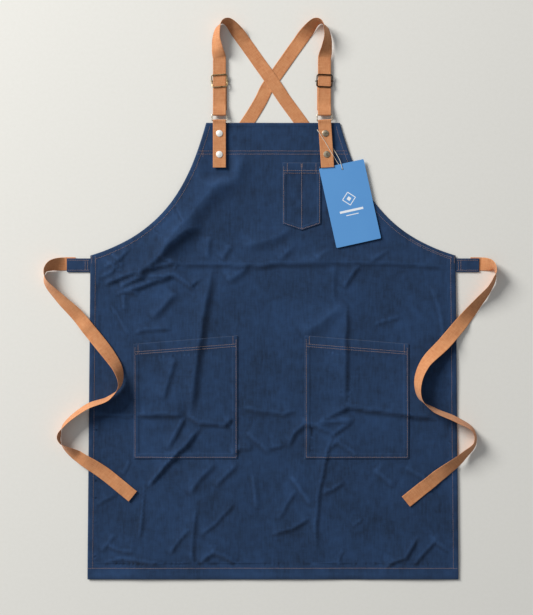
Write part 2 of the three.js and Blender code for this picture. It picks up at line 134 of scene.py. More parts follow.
# Creases of the laid cloth: height, reach of the slope to the left of the line's direction, reach
# of the steeper slope to its right, and the line. A negative height is a dip.
CREASES = [
    # The two ironed folds across the panel, and the one down each pocket.
    (1.5, 14, 4.5, [(-180, 597), (-60, 595), (-20, 597)]),
    (2.6, 22, 7, [(-45, 592), (0, 598), (80, 600), (120, 599)]),
    (1.3, 12, 3.5, [(100, 600), (212, 598), (280, 594), (336, 589)]),
    (1.0, 10, 4, [(-348, 313), (-255, 309)]),
    (2.9, 18, 4.5, [(-262, 311), (-210, 313), (-164, 311)]),
    (2.6, 16, 4.5, [(-166, 313), (-136, 297), (-92, 293), (-70, 314)]),
    (1.5, 14, 5, [(-60, 326), (-20, 320), (20, 314), (45, 322)]),
    (3.0, 20, 4.5, [(84, 299), (112, 312), (141, 327), (200, 320), (257, 312), (325, 302)]),
    (3.2, 26, 8, [(-160, 296), (-148, 400), (-136, 480), (-116, 596)]),
    (2.2, 22, 5, [(136, 326), (134, 430), (137, 526)]),
    # The bib's broad folds.
    (4.6, 40, 24, [(-236, 600), (-160, 684), (-118, 736), (-78, 778), (-44, 806)]),
    (3.6, 26, 9, [(-270, 566), (-222, 606), (-196, 634), (-165, 658), (-130, 672)]),
    (1.9, 20, 12, [(-62, 630), (0, 646), (60, 674)]),
    (1.6, 12, 7, [(8, 603), (34, 626), (62, 652)]),
    (1.3, 9, 6, [(-98, 604), (-80, 632)]),
    (1.2, 10, 6, [(79, 604), (112, 634)]),
    (1.5, 10, 5, [(180, 601), (228, 632)]),
    (0.9, 8, 5, [(54, 690), (90, 754)]),
    (1.3, 9, 6, [(-126, 604), (-122, 650)]),
    # The crumpled left waist corner.
    (2.6, 9, 3.5, [(-319, 557), (-286, 571), (-257, 581)]),
    (2.4, 9, 3.5, [(-290, 552), (-262, 566), (-239, 573)]),
    (2.4, 9, 4, [(-281, 545), (-254, 552), (-221, 566), (-187, 573)]),
    (2.1, 10, 3.5, [(-240, 572), (-187, 575), (-155, 554), (-135, 572)]),
    (2.2, 9, 4, [(-238, 586), (-210, 594), (-183, 597)]),
    (1.8, 7, 4, [(-219, 616), (-200, 604), (-183, 596), (-188, 582)]),
    (1.6, 6, 3.5, [(-312, 600), (-296, 588), (-283, 584)]),
    (1.6, 6, 3.5, [(-305, 616), (-290, 604), (-284, 590)]),
    (1.4, 6, 3.5, [(-322, 590), (-300, 598), (-270, 626)]),
    (1.4, 6, 3.5, [(-330, 570), (-305, 580), (-290, 600)]),
    (1.5, 6, 3.5, [(-296, 540), (-276, 544), (-252, 540)]),
    (-1.9, 12, 4, [(-333, 500), (-326, 530), (-320, 560)]),
    (0.9, 6, 4, [(-309, 522), (-290, 492), (-270, 462)]),
    (1.0, 5, 4, [(-281, 540), (-281, 508)]),
    # Below the waist.
    (1.7, 16, 8, [(-88, 564), (-66, 578), (-48, 596)]),
    (2.0, 12, 8, [(-232, 494), (-206, 520), (-184, 544)]),
    (1.4, 10, 4, [(-262, 466), (-240, 473), (-190, 475)]),
    (1.8, 9, 5, [(132, 552), (146, 572), (164, 596)]),
    (2.4, 26, 14, [(48, 464), (84, 484), (110, 504), (136, 524)]),
    (0.9, 5, 4, [(188, 483), (214, 490), (240, 499)]),
    (0.9, 8, 5, [(112, 520), (113, 596)]),
    (1.8, 10, 5, [(-210, 340), (-198, 380), (-186, 420)]),
    # Pockets and skirt, left.
    (3.2, 8, 5, [(-243, 168), (-206, 216), (-166, 256), (-136, 292)]),
    (2.2, 8, 4, [(-200, 245), (-184, 276), (-166, 310)]),
    (1.6, 4, 4, [(-254, 74), (-248, 124), (-244, 184)]),
    (1.9, 12, 7, [(-160, 160), (-140, 190), (-110, 224)]),
    (1.6, 10, 6, [(-112, 176), (-92, 196), (-68, 222)]),
    (1.5, 9, 4, [(-154, 24), (-153, 80), (-146, 136)]),
    (1.5, 8, 4, [(-198, 46), (-180, 72), (-158, 98)]),
    (1.4, 8, 4, [(-138, 84), (-108, 108), (-74, 148)]),
    (2.1, 7, 5, [(-140, 32), (-112, 53), (-92, 46), (-68, 30)]),
    (1.7, 6, 4, [(-321, 31), (-284, 41), (-244, 36), (-204, 27)]),
    (1.6, 8, 4, [(-314, 68), (-288, 56), (-258, 51)]),
    (1.0, 6, 4, [(-334, 144), (-298, 162)]),
    (1.0, 6, 4, [(-326, 52), (-298, 88)]),
    (1.2, 7, 5, [(-285, 198), (-270, 226)]),
    (1.5, 12, 6, [(-52, 280), (-28, 262), (-2, 240)]),
    (1.3, 9, 5, [(-78, 236), (-62, 250), (-40, 250)]),
    # Pockets and skirt, right.
    (1.7, 8, 4, [(83, 297), (120, 300), (150, 304)]),
    (1.8, 8, 4.5, [(110, 272), (128, 288), (152, 304)]),
    (2.3, 8, 5, [(26, 248), (38, 276), (60, 296), (84, 292), (112, 280)]),
    (1.7, 7, 4, [(79, 48), (80, 110), (84, 160), (98, 224), (104, 256), (115, 280)]),
    (1.7, 8, 4, [(104, 248), (122, 262), (142, 248), (164, 231)]),
    (1.6, 8, 5, [(92, 163), (112, 170), (134, 186)]),
    (1.9, 10, 4.5, [(-5, 87), (36, 98), (70, 118)]),
    (1.3, 8, 5, [(8, 112), (24, 142), (42, 172)]),
    (1.4, 9, 5, [(33, 198), (54, 168), (76, 138)]),
    (2.3, 9, 4, [(207, 20), (226, 35), (250, 42), (272, 84)]),
    (1.7, 8, 4, [(263, 26), (284, 52), (306, 74), (336, 53)]),
    (0.9, 6, 4, [(148, 101), (167, 115)]),
    (1.6, 14, 7, [(190, 212), (208, 196), (230, 178)]),
    (1.2, 10, 6, [(250, 214), (282, 196), (300, 176)]),
    (1.2, 7, 4, [(-2, 250), (18, 255)]),
    (1.2, 8, 5, [(120, 24), (130, 60)]),
    (1.3, 12, 6, [(296, 560), (318, 500), (326, 430)]),
    (1.2, 8, 5, [(-38, 200), (-30, 130)]),
]


def crease_segments():
    """The creases' straight runs, each with its place along the whole line."""
    segments = []
    for height, gentle, steep, line in CREASES:
        lengths = [math.dist(a, b) for a, b in zip(line, line[1:])]
        run = 0.0
        parts = []
        for a, b, length in zip(line, line[1:], lengths):
            parts.append((*a, (b[0] - a[0]) / length, (b[1] - a[1]) / length, length, run))
            run += length
        reach = 3 * max(gentle, steep)
        xs = [x for x, _ in line]
        ys = [y for _, y in line]
        box = (min(xs) - reach, max(xs) + reach, min(ys) - reach, max(ys) + reach)
        segments.append((box, height, gentle, steep, run, parts))
    return segments


CREASE_SEGMENTS = crease_segments()
CREASE_DEPTH = 2.0

# Where the cloth is crumpled most: centre, reach and strength.
CRUMPLED = [
    (-290, 580, 70, 1.1),
    (-180, 250, 120, 0.5),
    (120, 290, 110, 0.5),
    (-250, 70, 110, 0.5),
    (250, 70, 110, 0.4),
    (40, 130, 120, 0.4),
]

# Where something lies on the cloth and holds it down: low and high corner.
HELD_DOWN = [
    (-118, 768, -84, 862),
    (80, 768, 118, 862),
    (46, 630, 220, 800),
]


def side_edge(y):
    return hem_half + (waist_half - hem_half) * min(1.0, y / waist_height)


def armhole(t):
    """The armhole's curve on the right, from the waist corner to the bib's corner."""
    reach = 0.625 * (waist_half - bib_half)
    rise = bib_height - waist_height
    ends = Vector((waist_half, waist_height)), Vector((bib_half, bib_height))
    hip = Vector((waist_half - reach, waist_height + 0.166 * rise))
    neck = Vector((bib_half + 0.157 * (waist_half - bib_half), bib_height - 0.5 * rise))
    s = 1 - t
    return s**3 * ends[0] + 3 * s * s * t * hip + 3 * s * t * t * neck + t**3 * ends[1]


def crease_lift(x, y):
    total = 0.0
    for (x0, x1, y0, y1), height, gentle, steep, whole, parts in CREASE_SEGMENTS:
        if not (x0 < x < x1 and y0 < y < y1):
            continue
        nearest = 1e9
        for px, py, ux, uy, length, run in parts:
            along = (x - px) * ux + (y - py) * uy
            off = (x - px) * uy - (y - py) * ux
            beyond = max(-along, along - length, 0.0)
            distance = math.hypot(off, beyond)
            if distance < nearest:
                nearest = distance
                side = off
                at = run + min(length, max(0.0, along))
                past = beyond
        reach = steep if side > 0 else gentle
        taper = smooth(-2, 0.2 * whole, at) * smooth(-2, 0.2 * whole, whole - at)
        slope = math.exp(-abs(side) / reach * 1.1) if side < 0 else math.exp(-((side / reach) ** 2))
        total += CREASE_DEPTH * height * taper * slope * math.exp(-((past / 7) ** 2))
    return total


def crumple(x, y):
    """Small crinkles, strongest where the cloth is crumpled."""
    strength = 0.28
    for cx, cy, reach, amount in CRUMPLED:
        strength += amount * math.exp(-((x - cx) ** 2 + (y - cy) ** 2) / reach**2)
    facets = noise.noise(Vector((x / 34, y / 42, 2.7))) + 0.5 * noise.noise(Vector((x / 15, y / 19, 8.1)))
    return 0.75 * strength * facets


def held_down(x, y):
    free = 1.0
    for x0, y0, x1, y1 in HELD_DOWN:
        off = math.hypot(max(x0 - x, 0, x - x1), max(y0 - y, 0, y - y1))
        free = min(free, smooth(0, 26, off))
    return free


def lift(x, y):
    """How far the cloth lies above or below its flat level."""
    wander = noise.noise_vector(Vector((x / 26, y / 26, 5.5)))
    wx = x + 1.7 * wander.x
    wy = y + 1.7 * wander.y
    roll = 2.6 * noise.noise(Vector((x / 130, y / 150, 0.4)))
    roll += 1.3 * noise.noise(Vector((x / 55, y / 70, 1.9)))
    free = held_down(x, y)
    waves = crease_lift(wx, wy) + crumple(wx, wy) + roll
    edge = min(side_edge(y) - abs(x), y - 4)
    sag = 1.5 * smooth(6, 26, edge) * (1 - smooth(560, 640, y))
    sag += 0.6 * smooth(600, 650, y)
    calm = 0.45 + 0.55 * smooth(4, 30, edge)
    return max(-1.9, free * calm * waves - sag - 0.3 * (1 - free))


def panel_top(x, y):
    return sheet_top + lift(x, y)


# ---- Cloth pieces with their edges turned under ----


def shifted(points, depth):
    """A line moved to its left by a depth."""
    moved = []
    for i, point in enumerate(points):
        before = points[max(0, i - 1)]
        after = points[min(len(points) - 1, i + 1)]
        along = (after - before).normalized()
        moved.append(point + Vector((-along.y, along.x)) * depth)
    return moved


def crossing(a, b, c, d):
    """Where the line a-b meets the line c-d."""
    r = b - a
    s = d - c
    turn = r.x * s.y - r.y * s.x
    if abs(turn) < 1e-9:
        return (b + c) / 2
    t = ((c - a).x * s.y - (c - a).y * s.x) / turn
    return a + r * t


def resampled(points, count):
    """The same line in evenly spaced points."""
    lengths = [0.0]
    for a, b in zip(points, points[1:]):
        lengths.append(lengths[-1] + (b - a).length)
    out = []
    k = 0
    for i in range(count):
        goal = lengths[-1] * i / (count - 1)
        while k < len(points) - 2 and lengths[k + 1] < goal:
            k += 1
        span = lengths[k + 1] - lengths[k] or 1.0
        out.append(points[k].lerp(points[k + 1], (goal - lengths[k]) / span))
    return out


def inset_lines(outline, share):
    """Each side of the outline, (points, depth), moved in by a share of its own depth."""
    lines = [shifted(points, depth * share) for points, depth in outline]
    corners = []
    for i, line in enumerate(lines):
        before = lines[i - 1]
        corners.append(crossing(before[-2], before[-1], line[0], line[1]))
    trimmed = []
    for i, line in enumerate(lines):
        start = corners[i]
        end = corners[(i + 1) % len(lines)]
        first = (line[1] - line[0]).normalized()
        last = (line[-1] - line[-2]).normalized()
        inner = [
            p for p in line[1:-1] if (p - start).dot(first) > 0.3 and (end - p).dot(last) > 0.3
        ]
        trimmed.append([start, *inner, end])
    return trimmed


def outside(corners, loop):
    """True if the middle of the corners lies outside a closed loop."""
    x, y, _ = sum((v.co for v in corners), Vector()) / len(corners)
    inside = False
    for a, b in zip(loop, [*loop[1:], loop[0]]):
        if (a.y > y) != (b.y > y) and x < a.x + (b.x - a.x) * (y - a.y) / (b.y - a.y):
            inside = not inside
    return not inside


def straight(*corners):
    return [Vector(c) for c in corners]


# The turned edge's section: share of the hem's depth, drop below the face, and how much of the
# raised band it belongs to.
FACE_RINGS = [(0.035, 0.42, 1), (0.11, 0.1, 1), (0.45, 0, 1), (0.84, 0, 1), (0.95, 0.12, 1),
              (1.03, 0.2, 0.7), (1.12, 0, 0.15), (1.35, 0, 0)]
UNDER_RINGS = [(0.035, 0.58), (0.11, 0.9), (0.5, 1.0), (0.92, 1.0)]


def turned_cloth(name, outline, grid, height, band, drop, thickness=denim):
    """Cloth cut to an outline, its edges folded under by each side's depth.

    The face lies at height(x, y), raised by band where it is doubled, and the fold goes down by
    drop. The faces inside the hems are laid out on a staggered grid.
    """
    counts = []
    for points, _ in outline:
        length = sum((b - a).length for a, b in zip(points, points[1:]))
        counts.append(max(4, round(length / grid)) + 1)

    def ring(share):
        loop = []
        for line, count in zip(inset_lines(outline, share), counts):
            loop += resampled(line, count)[:-1]
        return loop

    mesh = bmesh.new()

    def add_ring(share, fall, raised):
        return [
            mesh.verts.new((p.x, p.y, height(p.x, p.y) + band * raised - fall)) for p in ring(share)
        ]

    edge = add_ring(0, drop / 2, 1)
    faces = [add_ring(share, fall * min(1, drop / 2), raised) for share, fall, raised in FACE_RINGS]
    under = [add_ring(share, drop * fall, 1) for share, fall in UNDER_RINGS]
    around = len(edge)
    strips = list(zip(reversed(under), [*reversed(under[:-1]), edge]))
    strips += list(zip([edge, *faces], faces))
    for outer, inner in strips:
        for i in range(around):
            j = (i + 1) % around
            mesh.faces.new((outer[i], outer[j], inner[j], inner[i]))

    rim = faces[-1]
    flat = [v.co.xy for v in rim]
    low = Vector((min(p.x for p in flat), min(p.y for p in flat)))
    high = Vector((max(p.x for p in flat), max(p.y for p in flat)))
    inside = []
    for row in range(int((high.y - low.y) / grid) + 1):
        y = low.y + row * grid
        crossings = []
        for a, b in zip(flat, [*flat[1:], flat[0]]):
            if (a.y > y) != (b.y > y):
                crossings.append(a.x + (b.x - a.x) * (y - a.y) / (b.y - a.y))
        crossings.sort()
        for x0, x1 in zip(crossings[::2], crossings[1::2]):
            x = low.x + math.ceil((x0 - low.x) / grid) * grid + (row % 2) * grid / 2
            while x < x1:
                near = grid * 0.45
                if x - x0 > near and x1 - x > near and high.y - y > near and y - low.y > near:
                    inside.append(Vector((x, y)))
                x += grid
    loop = list(range(around))
    made, _, triangles, *_ = delaunay_2d_cdt(flat + inside, [], [loop], 1, 1e-5, False)
    known = {}
    for v in rim:
        known[(round(v.co.x, 2), round(v.co.y, 2))] = v
    corners = []
    for p in made:
        key = (round(p.x, 2), round(p.y, 2))
        if key not in known:
            known[key] = mesh.verts.new((p.x, p.y, height(p.x, p.y)))
        corners.append(known[key])
    rim_set = set(rim)
    for triangle in triangles:
        ends = [corners[k] for k in triangle]
        if len(set(ends)) == 3 and not (rim_set.issuperset(ends) and outside(ends, flat)):
            mesh.faces.new(ends)
    # How far each point stands above its neighbours: the denim uses it to lighten crests and paint shade into hollows.
    crest_tint_and_hollow_shade = mesh.verts.layers.float.new("crest_tint_and_hollow_shade")
    for v in mesh.verts:
        around_v = [e.other_vert(v) for e in v.link_edges]
        mean = sum(o.co.z for o in around_v) / max(1, len(around_v))
        v[crest_tint_and_hollow_shade] = min(1.0, max(0.0, 0.5 + 2.6 * (v.co.z - mean)))
    for v in mesh.verts:
        v.co = place(*v.co)
    piece = new_piece(name, mesh)
    solid = piece.modifiers.new("Thickness", "SOLIDIFY")
    solid.thickness = thickness * MM
    solid.offset = 0
    apply_modifiers(piece)
    shade_smooth(piece)
    return piece


def new_piece(name, mesh):
    """A finished bmesh as an object at the origin."""
    mesh.normal_update()
    data = bpy.data.meshes.new(name)
    mesh.to_mesh(data)
    mesh.free()
    piece = bpy.data.objects.new(name, data)
    bpy.context.scene.collection.objects.link(piece)
    return piece


def choose(piece):
    bpy.ops.object.select_all(action="DESELECT")
    piece.select_set(True)
    bpy.context.view_layer.objects.active = piece


def apply_modifiers(piece):
    choose(piece)
    for modifier in list(piece.modifiers):
        bpy.ops.object.modifier_apply(modifier=modifier.name)


def shade_smooth(piece, angle=None):
    choose(piece)
    if angle is None:
        bpy.ops.object.shade_smooth()
    else:
        bpy.ops.object.shade_smooth_by_angle(angle=math.radians(angle))


def finish_piece(piece, body, material, slot, *nodes):
    """Gives a piece its material, its body and the nodes that it stands for."""
    piece.data.materials.clear()
    piece.data.materials.append(material)
    if body:
        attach(piece, body)
    if nodes:
        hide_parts(*nodes)
    return piece


# ---- Stitching ----


class Stitching:
    """Rows of short stitches, gathered into one piece."""

    def __init__(self, name):
        self.name = name
        self.mesh = bmesh.new()

    def stitch(self, start, end, up, thickness):
        """One stitch: a little bar of thread, sunk into the cloth at its two ends."""
        along = end - start
        side = along.cross(up).normalized()
        rings = []
        for t, size, sink in ((0, 0.45, 0.3), (0.22, 1, 0), (0.78, 1, 0), (1, 0.45, 0.3)):
            centre = start + along * t - up * (sink * thickness)
            ring = []
            for k in range(6):
                a = math.tau * k / 6
                offset = side * math.cos(a) + up * math.sin(a)
                ring.append(self.mesh.verts.new(centre + offset * (size * thickness / 2)))
            rings.append(ring)
        for a, b in zip(rings, rings[1:]):
            for k in range(6):
                j = (k + 1) % 6
                self.mesh.faces.new((a[k], a[j], b[j], b[k]))
        self.mesh.faces.new(list(reversed(rings[0])))
        self.mesh.faces.new(rings[-1])

    def row(self, points, height, pitch=3.5, share=0.8, thickness=0.46):
        """A row along a line of the pattern, lying at height(x, y)."""
        length = sum((b - a).length for a, b in zip(points, points[1:]))
        count = max(1, round(length / pitch))
        ends = resampled(points, count + 1)
        for a, b in zip(ends, ends[1:]):
            b = a.lerp(b, share)
            start = place(a.x, a.y, height(a.x, a.y) + 0.1)
            end = place(b.x, b.y, height(b.x, b.y) + 0.1)
            self.stitch(start, end, Vector((0, 0, 1)), thickness * MM)

    def finish(self, body, material=None, slot="webbing"):
        piece = new_piece(self.name, self.mesh)
        choose(piece)
        bpy.ops.object.mode_set(mode="EDIT")
        bpy.ops.mesh.select_all(action="SELECT")
        bpy.ops.mesh.normals_make_consistent(inside=False)
        bpy.ops.object.mode_set(mode="OBJECT")
        shade_smooth(piece)
        return finish_piece(piece, body, material or THREAD, slot)


# ---- Webbing and tape ----


def spline(points, power):
    """A curve through points, spaced by the given power of their squared distances.

    Returns a function of t from 0 to 1 that gives a point.
    """
    points = [Vector(p) for p in points]
    before = points[0] * 2 - points[1]
    after = points[-1] * 2 - points[-2]
    padded = [before, *points, after]
    spans = len(points) - 1

    def at(t):
        k = min(spans - 1, int(t * spans))
        w = t * spans - k
        p0, p1, p2, p3 = padded[k : k + 4]
        d1 = (p2 - p1).length_squared ** power
        d1 = d1 if d1 > 1e-4 else 1.0
        d0 = (p1 - p0).length_squared ** power
        d0 = d0 if d0 > 1e-4 else d1
        d2 = (p3 - p2).length_squared ** power
        d2 = d2 if d2 > 1e-4 else d1
        t1 = ((p1 - p0) / d0 - (p2 - p0) / (d0 + d1) + (p2 - p1) / d1) * d1
        t2 = ((p2 - p1) / d1 - (p3 - p1) / (d1 + d2) + (p3 - p2) / d2) * d1
        c2 = 3 * (p2 - p1) - 2 * t1 - t2
        c3 = 2 * (p1 - p2) + t1 + t2
        return p1 + t1 * w + c2 * w**2 + c3 * w**3

    return at


def twisted_route(route, width, steps, ground=None):
    """Stations along a route of (x, y, base, twist): centre, along and across.

    Twist 0 lies flat, 90 stands on edge and 180 lies flat with the other face up. Where ground is
    given, the lower edge rests at ground(x, y) instead of the base.
    """
    plan = spline([(x, y, 0) for x, y, _, _ in route], 0.25)
    lean = spline([(base, twist, 0) for _, _, base, twist in route], 0.5)

    def centre(t):
        base, twist, _ = lean(t)
        point = plan(t)
        if ground:
            base = ground(point.x, point.y)
        angle = math.radians(twist)
        rise = width * abs(math.sin(angle)) + webbing * abs(math.cos(angle))
        return Vector((point.x, point.y, base + rise / 2))

    stations = []
    for i in range(steps + 1):
        t = i / steps
        step = 0.25 / steps
        along = (centre(min(1, t + step)) - centre(max(0, t - step))).normalized()
        angle = math.radians(lean(t).y)
        right = along.cross(Vector((0, 0, 1))).normalized()
        up = right.cross(along)
        across = right * math.cos(angle) + up * math.sin(angle)
        stations.append((centre(t), along, across))
    return stations


# Half of the tape's section: place across and height, in shares of its half sizes.
SELVEDGE = [(-1, 0), (-0.985, 0.55), (-0.955, 0.95), (-0.86, 1.0), (-0.8, 0.86), (-0.3, 0.92),
            (0.3, 0.92), (0.8, 0.86), (0.86, 1.0), (0.955, 0.95), (0.985, 0.55), (1, 0)]


def woven_strip(name, stations, width, thickness=webbing, end_fold=0.0, ripple_from=1e9):
    """A strip of tape along stations, with rounded selvedges and a map that runs with the weave.

    end_fold is the length at the far end where the tape is folded under and is twice as thick.
    Past ripple_from, the tape is slightly uneven from having been folded and tied.
    """
    section = SELVEDGE + [(a, -h) for a, h in reversed(SELVEDGE[1:-1])]
    mesh = bmesh.new()
    uv = mesh.loops.layers.uv.new("UVMap")
    runs = [0.0]
    for (a, _, _), (b, _, _) in zip(stations, stations[1:]):
        runs.append(runs[-1] + (b - a).length)
    rings = []
    for (centre, along, across), run in zip(stations, runs):
        normal = across.cross(along).normalized()
        double = 1 + 0.8 * smooth(0, 2, end_fold - (runs[-1] - run)) if end_fold else 1
        ring = []
        uneven = smooth(0, 20, run - ripple_from)
        for a, h in section:
            wave = 0.9 * noise.noise(Vector((run / 17, a * 0.9, centre.x / 200)))
            point = centre + across * (a * width / 2) + normal * (h * thickness * double / 2)
            point.z += uneven * max(0.0, 0.35 + wave)
            ring.append(mesh.verts.new(place(*point)))
        rings.append(ring)
    count = len(section)
    places = [a * width / 2 for a, _ in section]
    for i, (a, b) in enumerate(zip(rings, rings[1:])):
        for k in range(count):
            j = (k + 1) % count
            face = mesh.faces.new((a[k], b[k], b[j], a[j]))
            for loop, (at, run) in zip(
                face.loops, ((k, runs[i]), (k, runs[i + 1]), (j, runs[i + 1]), (j, runs[i]))
            ):
                loop[uv].uv = (places[at] * MM, run * MM)
    for ring in (list(reversed(rings[0])), rings[-1]):
        mesh.faces.new(ring)
    bmesh.ops.recalc_face_normals(mesh, faces=mesh.faces)
    piece = new_piece(name, mesh)
    shade_smooth(piece, 50)
    return piece


def sewn_along(stitching, stations, offset, first, last, face=1, pitch=3.6, thickness=0.5):
    """A row of stitches that follows a strip, offset from its middle line, between two runs."""
    line = []
    run = 0.0
    for (a, along, across), (b, _, _) in zip(stations, stations[1:]):
        if first <= run <= last:
            normal = across.cross(along).normalized() * face
            line.append((place(*(a + across * offset + normal * (webbing / 2 + 0.05))), normal))
        run += (b - a).length
    length = sum((q[0] - p[0]).length for p, q in zip(line, line[1:])) / MM
    count = max(1, round(length / pitch))
    ends = resampled([p for p, _ in line], count + 1)
    for i, (a, b) in enumerate(zip(ends, ends[1:])):
        up = line[min(len(line) - 1, round(i * len(line) / count))][1]
        stitching.stitch(a, a.lerp(b, 0.8), up, thickness * MM)


# ---- Shader groups ----


def node_group(name, inputs, outputs):
    """A shader group with named number, colour or vector sockets."""
    group = bpy.data.node_groups.new(name, "ShaderNodeTree")
    for label, kind in inputs:
        group.interface.new_socket(name=label, in_out="INPUT", socket_type=f"NodeSocket{kind}")
    for label, kind in outputs:
        group.interface.new_socket(name=label, in_out="OUTPUT", socket_type=f"NodeSocket{kind}")
    start = group.nodes.new("NodeGroupInput")
    end = group.nodes.new("NodeGroupOutput")
    return group, start.outputs, end.inputs


def link(tree, source, target):
    tree.links.new(source, target)


def maths(tree, operation, a, b=None, c=None, clamp=False):
    """A maths node on sockets or numbers; returns its output."""
    node = tree.nodes.new("ShaderNodeMath")
    node.operation = operation
    node.use_clamp = clamp
    for socket, value in zip(node.inputs, (a, b, c)):
        if value is None:
            continue
        if isinstance(value, (int, float)):
            socket.default_value = value
        else:
            link(tree, value, socket)
    return node.outputs[0]


def scaled(tree, vector, scale):
    node = tree.nodes.new("ShaderNodeVectorMath")
    node.operation = "MULTIPLY"
    link(tree, vector, node.inputs[0])
    node.inputs[1].default_value = scale
    return node.outputs[0]


def noise_on(tree, vector, scale, detail=3, roughness=0.5):
    node = tree.nodes.new("ShaderNodeTexNoise")
    link(tree, vector, node.inputs["Vector"])
    node.inputs["Scale"].default_value = scale
    node.inputs["Detail"].default_value = detail
    node.inputs["Roughness"].default_value = roughness
    return node.outputs["Fac"]


def blended(tree, share, a, b):
    """A colour between two colours or colour sockets."""
    node = tree.nodes.new("ShaderNodeMix")
    node.data_type = "RGBA"
    if isinstance(share, (int, float)):
        node.inputs[0].default_value = share
    else:
        link(tree, share, node.inputs[0])
    for socket, value in ((node.inputs[6], a), (node.inputs[7], b)):
        if isinstance(value, tuple):
            socket.default_value = value
        else:
            link(tree, value, socket)
    return node.outputs[2]


def twill_group():
    """Slanting ribs of a twill with uneven yarns, on a position in metres."""
    group, take, give = node_group(
        "Twill", [("Vector", "Vector"), ("Ribs per metre", "Float")],
        [("Rib", "Float"), ("Slub", "Float")],
    )
    split = group.nodes.new("ShaderNodeSeparateXYZ")
    link(group, take["Vector"], split.inputs[0])
    wobble = noise_on(group, scaled(group, take["Vector"], (1, 1, 1)), 260, 2)
    slant = maths(group, "MULTIPLY_ADD", split.outputs["Y"], 0.55, split.outputs["X"])
    turns = maths(group, "MULTIPLY", slant, take["Ribs per metre"])
    turns = maths(group, "MULTIPLY_ADD", wobble, 0.8, turns)
    wave = maths(group, "SINE", maths(group, "MULTIPLY", turns, math.tau))
    link(group, maths(group, "MULTIPLY_ADD", wave, 0.5, 0.5), give["Rib"])
    warp = noise_on(group, scaled(group, take["Vector"], (1500, 90, 1)), 1, 2, 0.7)
    streak = noise_on(group, scaled(group, take["Vector"], (300, 32, 1)), 1, 3, 0.65)
    weft = noise_on(group, scaled(group, take["Vector"], (60, 700, 1)), 1, 2, 0.6)
    both = maths(group, "MULTIPLY_ADD", weft, 0.25, maths(group, "MULTIPLY", warp, 0.25))
    link(group, maths(group, "MULTIPLY_ADD", streak, 0.5, both), give["Slub"])
    return group


def fading_group():
    """Soft lighter and darker areas at two scales."""
    group, take, give = node_group(
        "Fading", [("Vector", "Vector"), ("Size", "Float")], [("Fade", "Float")]
    )
    broad = group.nodes.new("ShaderNodeTexNoise")
    link(group, take["Vector"], broad.inputs["Vector"])
    link(group, take["Size"], broad.inputs["Scale"])
    broad.inputs["Detail"].default_value = 4
    small = group.nodes.new("ShaderNodeTexNoise")
    link(group, take["Vector"], small.inputs["Vector"])
    link(group, maths(group, "MULTIPLY", take["Size"], 6.5), small.inputs["Scale"])
    small.inputs["Detail"].default_value = 3
    fade = maths(group, "MULTIPLY_ADD", broad.outputs["Fac"], 0.6,
                 maths(group, "MULTIPLY", small.outputs["Fac"], 0.4))
    link(group, maths(group, "MULTIPLY_ADD", fade, 2.6, -0.8, clamp=True), give["Fade"])
    return group


def plain_weave_group():
    """The crosswise and lengthwise yarns of a tape, on its own map in metres."""
    group, take, give = node_group(
        "Plain weave", [("Map", "Vector"), ("Yarns per metre", "Float")],
        [("Yarn", "Float"), ("Tone", "Float")],
    )
    split = group.nodes.new("ShaderNodeSeparateXYZ")
    link(group, take["Map"], split.inputs[0])
    wobble = noise_on(group, take["Map"], 420, 2)
    waves = []
    for axis, share in (("X", 1.0), ("Y", 1.0)):
        turns = maths(group, "MULTIPLY", split.outputs[axis], take["Yarns per metre"])
        turns = maths(group, "MULTIPLY_ADD", wobble, 0.5, turns)
        waves.append(maths(group, "SINE", maths(group, "MULTIPLY", turns, math.tau * share)))
    checks = maths(group, "MULTIPLY", waves[0], waves[1])
    link(group, maths(group, "MULTIPLY_ADD", checks, 0.5, 0.5), give["Yarn"])
    streak = noise_on(group, scaled(group, take["Map"], (900, 60, 1)), 1, 3, 0.65)
    bars = noise_on(group, scaled(group, take["Map"], (40, 700, 1)), 1, 2, 0.6)
    tone = maths(group, "MULTIPLY_ADD", streak, 0.55, maths(group, "MULTIPLY", bars, 0.45))
    link(group, tone, give["Tone"])
    return group


TWILL = twill_group()
FADING = fading_group()
WEAVE = plain_weave_group()


# ---- Materials ----


def new_material(name, roughness, metallic=0.0, sheen=0.0, specular=0.35):
    """A material with its shader's constant values set; returns it, its tree and its shader."""
    material = bpy.data.materials.new(name)
    material.use_nodes = True
    tree = material.node_tree
    shader = tree.nodes["Principled BSDF"]
    shader.inputs["Roughness"].default_value = roughness
    shader.inputs["Metallic"].default_value = metallic
    shader.inputs["Sheen Weight"].default_value = sheen
    shader.inputs["Sheen Roughness"].default_value = 0.55
    shader.inputs["Specular IOR Level"].default_value = specular
    return material, tree, shader


def use_group(tree, group, **values):
    node = tree.nodes.new("ShaderNodeGroup")
    node.node_tree = group
    for label, value in values.items():
        socket = node.inputs[label.replace("_", " ")]
        if isinstance(value, (int, float)):
            socket.default_value = value
        else:
            link(tree, value, socket)
    return node.outputs


def coordinates(tree, kind="Object"):
    return tree.nodes.new("ShaderNodeTexCoord").outputs[kind]


def bump(tree, shader, height, strength, distance):
    node = tree.nodes.new("ShaderNodeBump")
    node.inputs["Strength"].default_value = strength
    node.inputs["Distance"].default_value = distance
    link(tree, height, node.inputs["Height"])
    link(tree, node.outputs["Normal"], shader.inputs["Normal"])


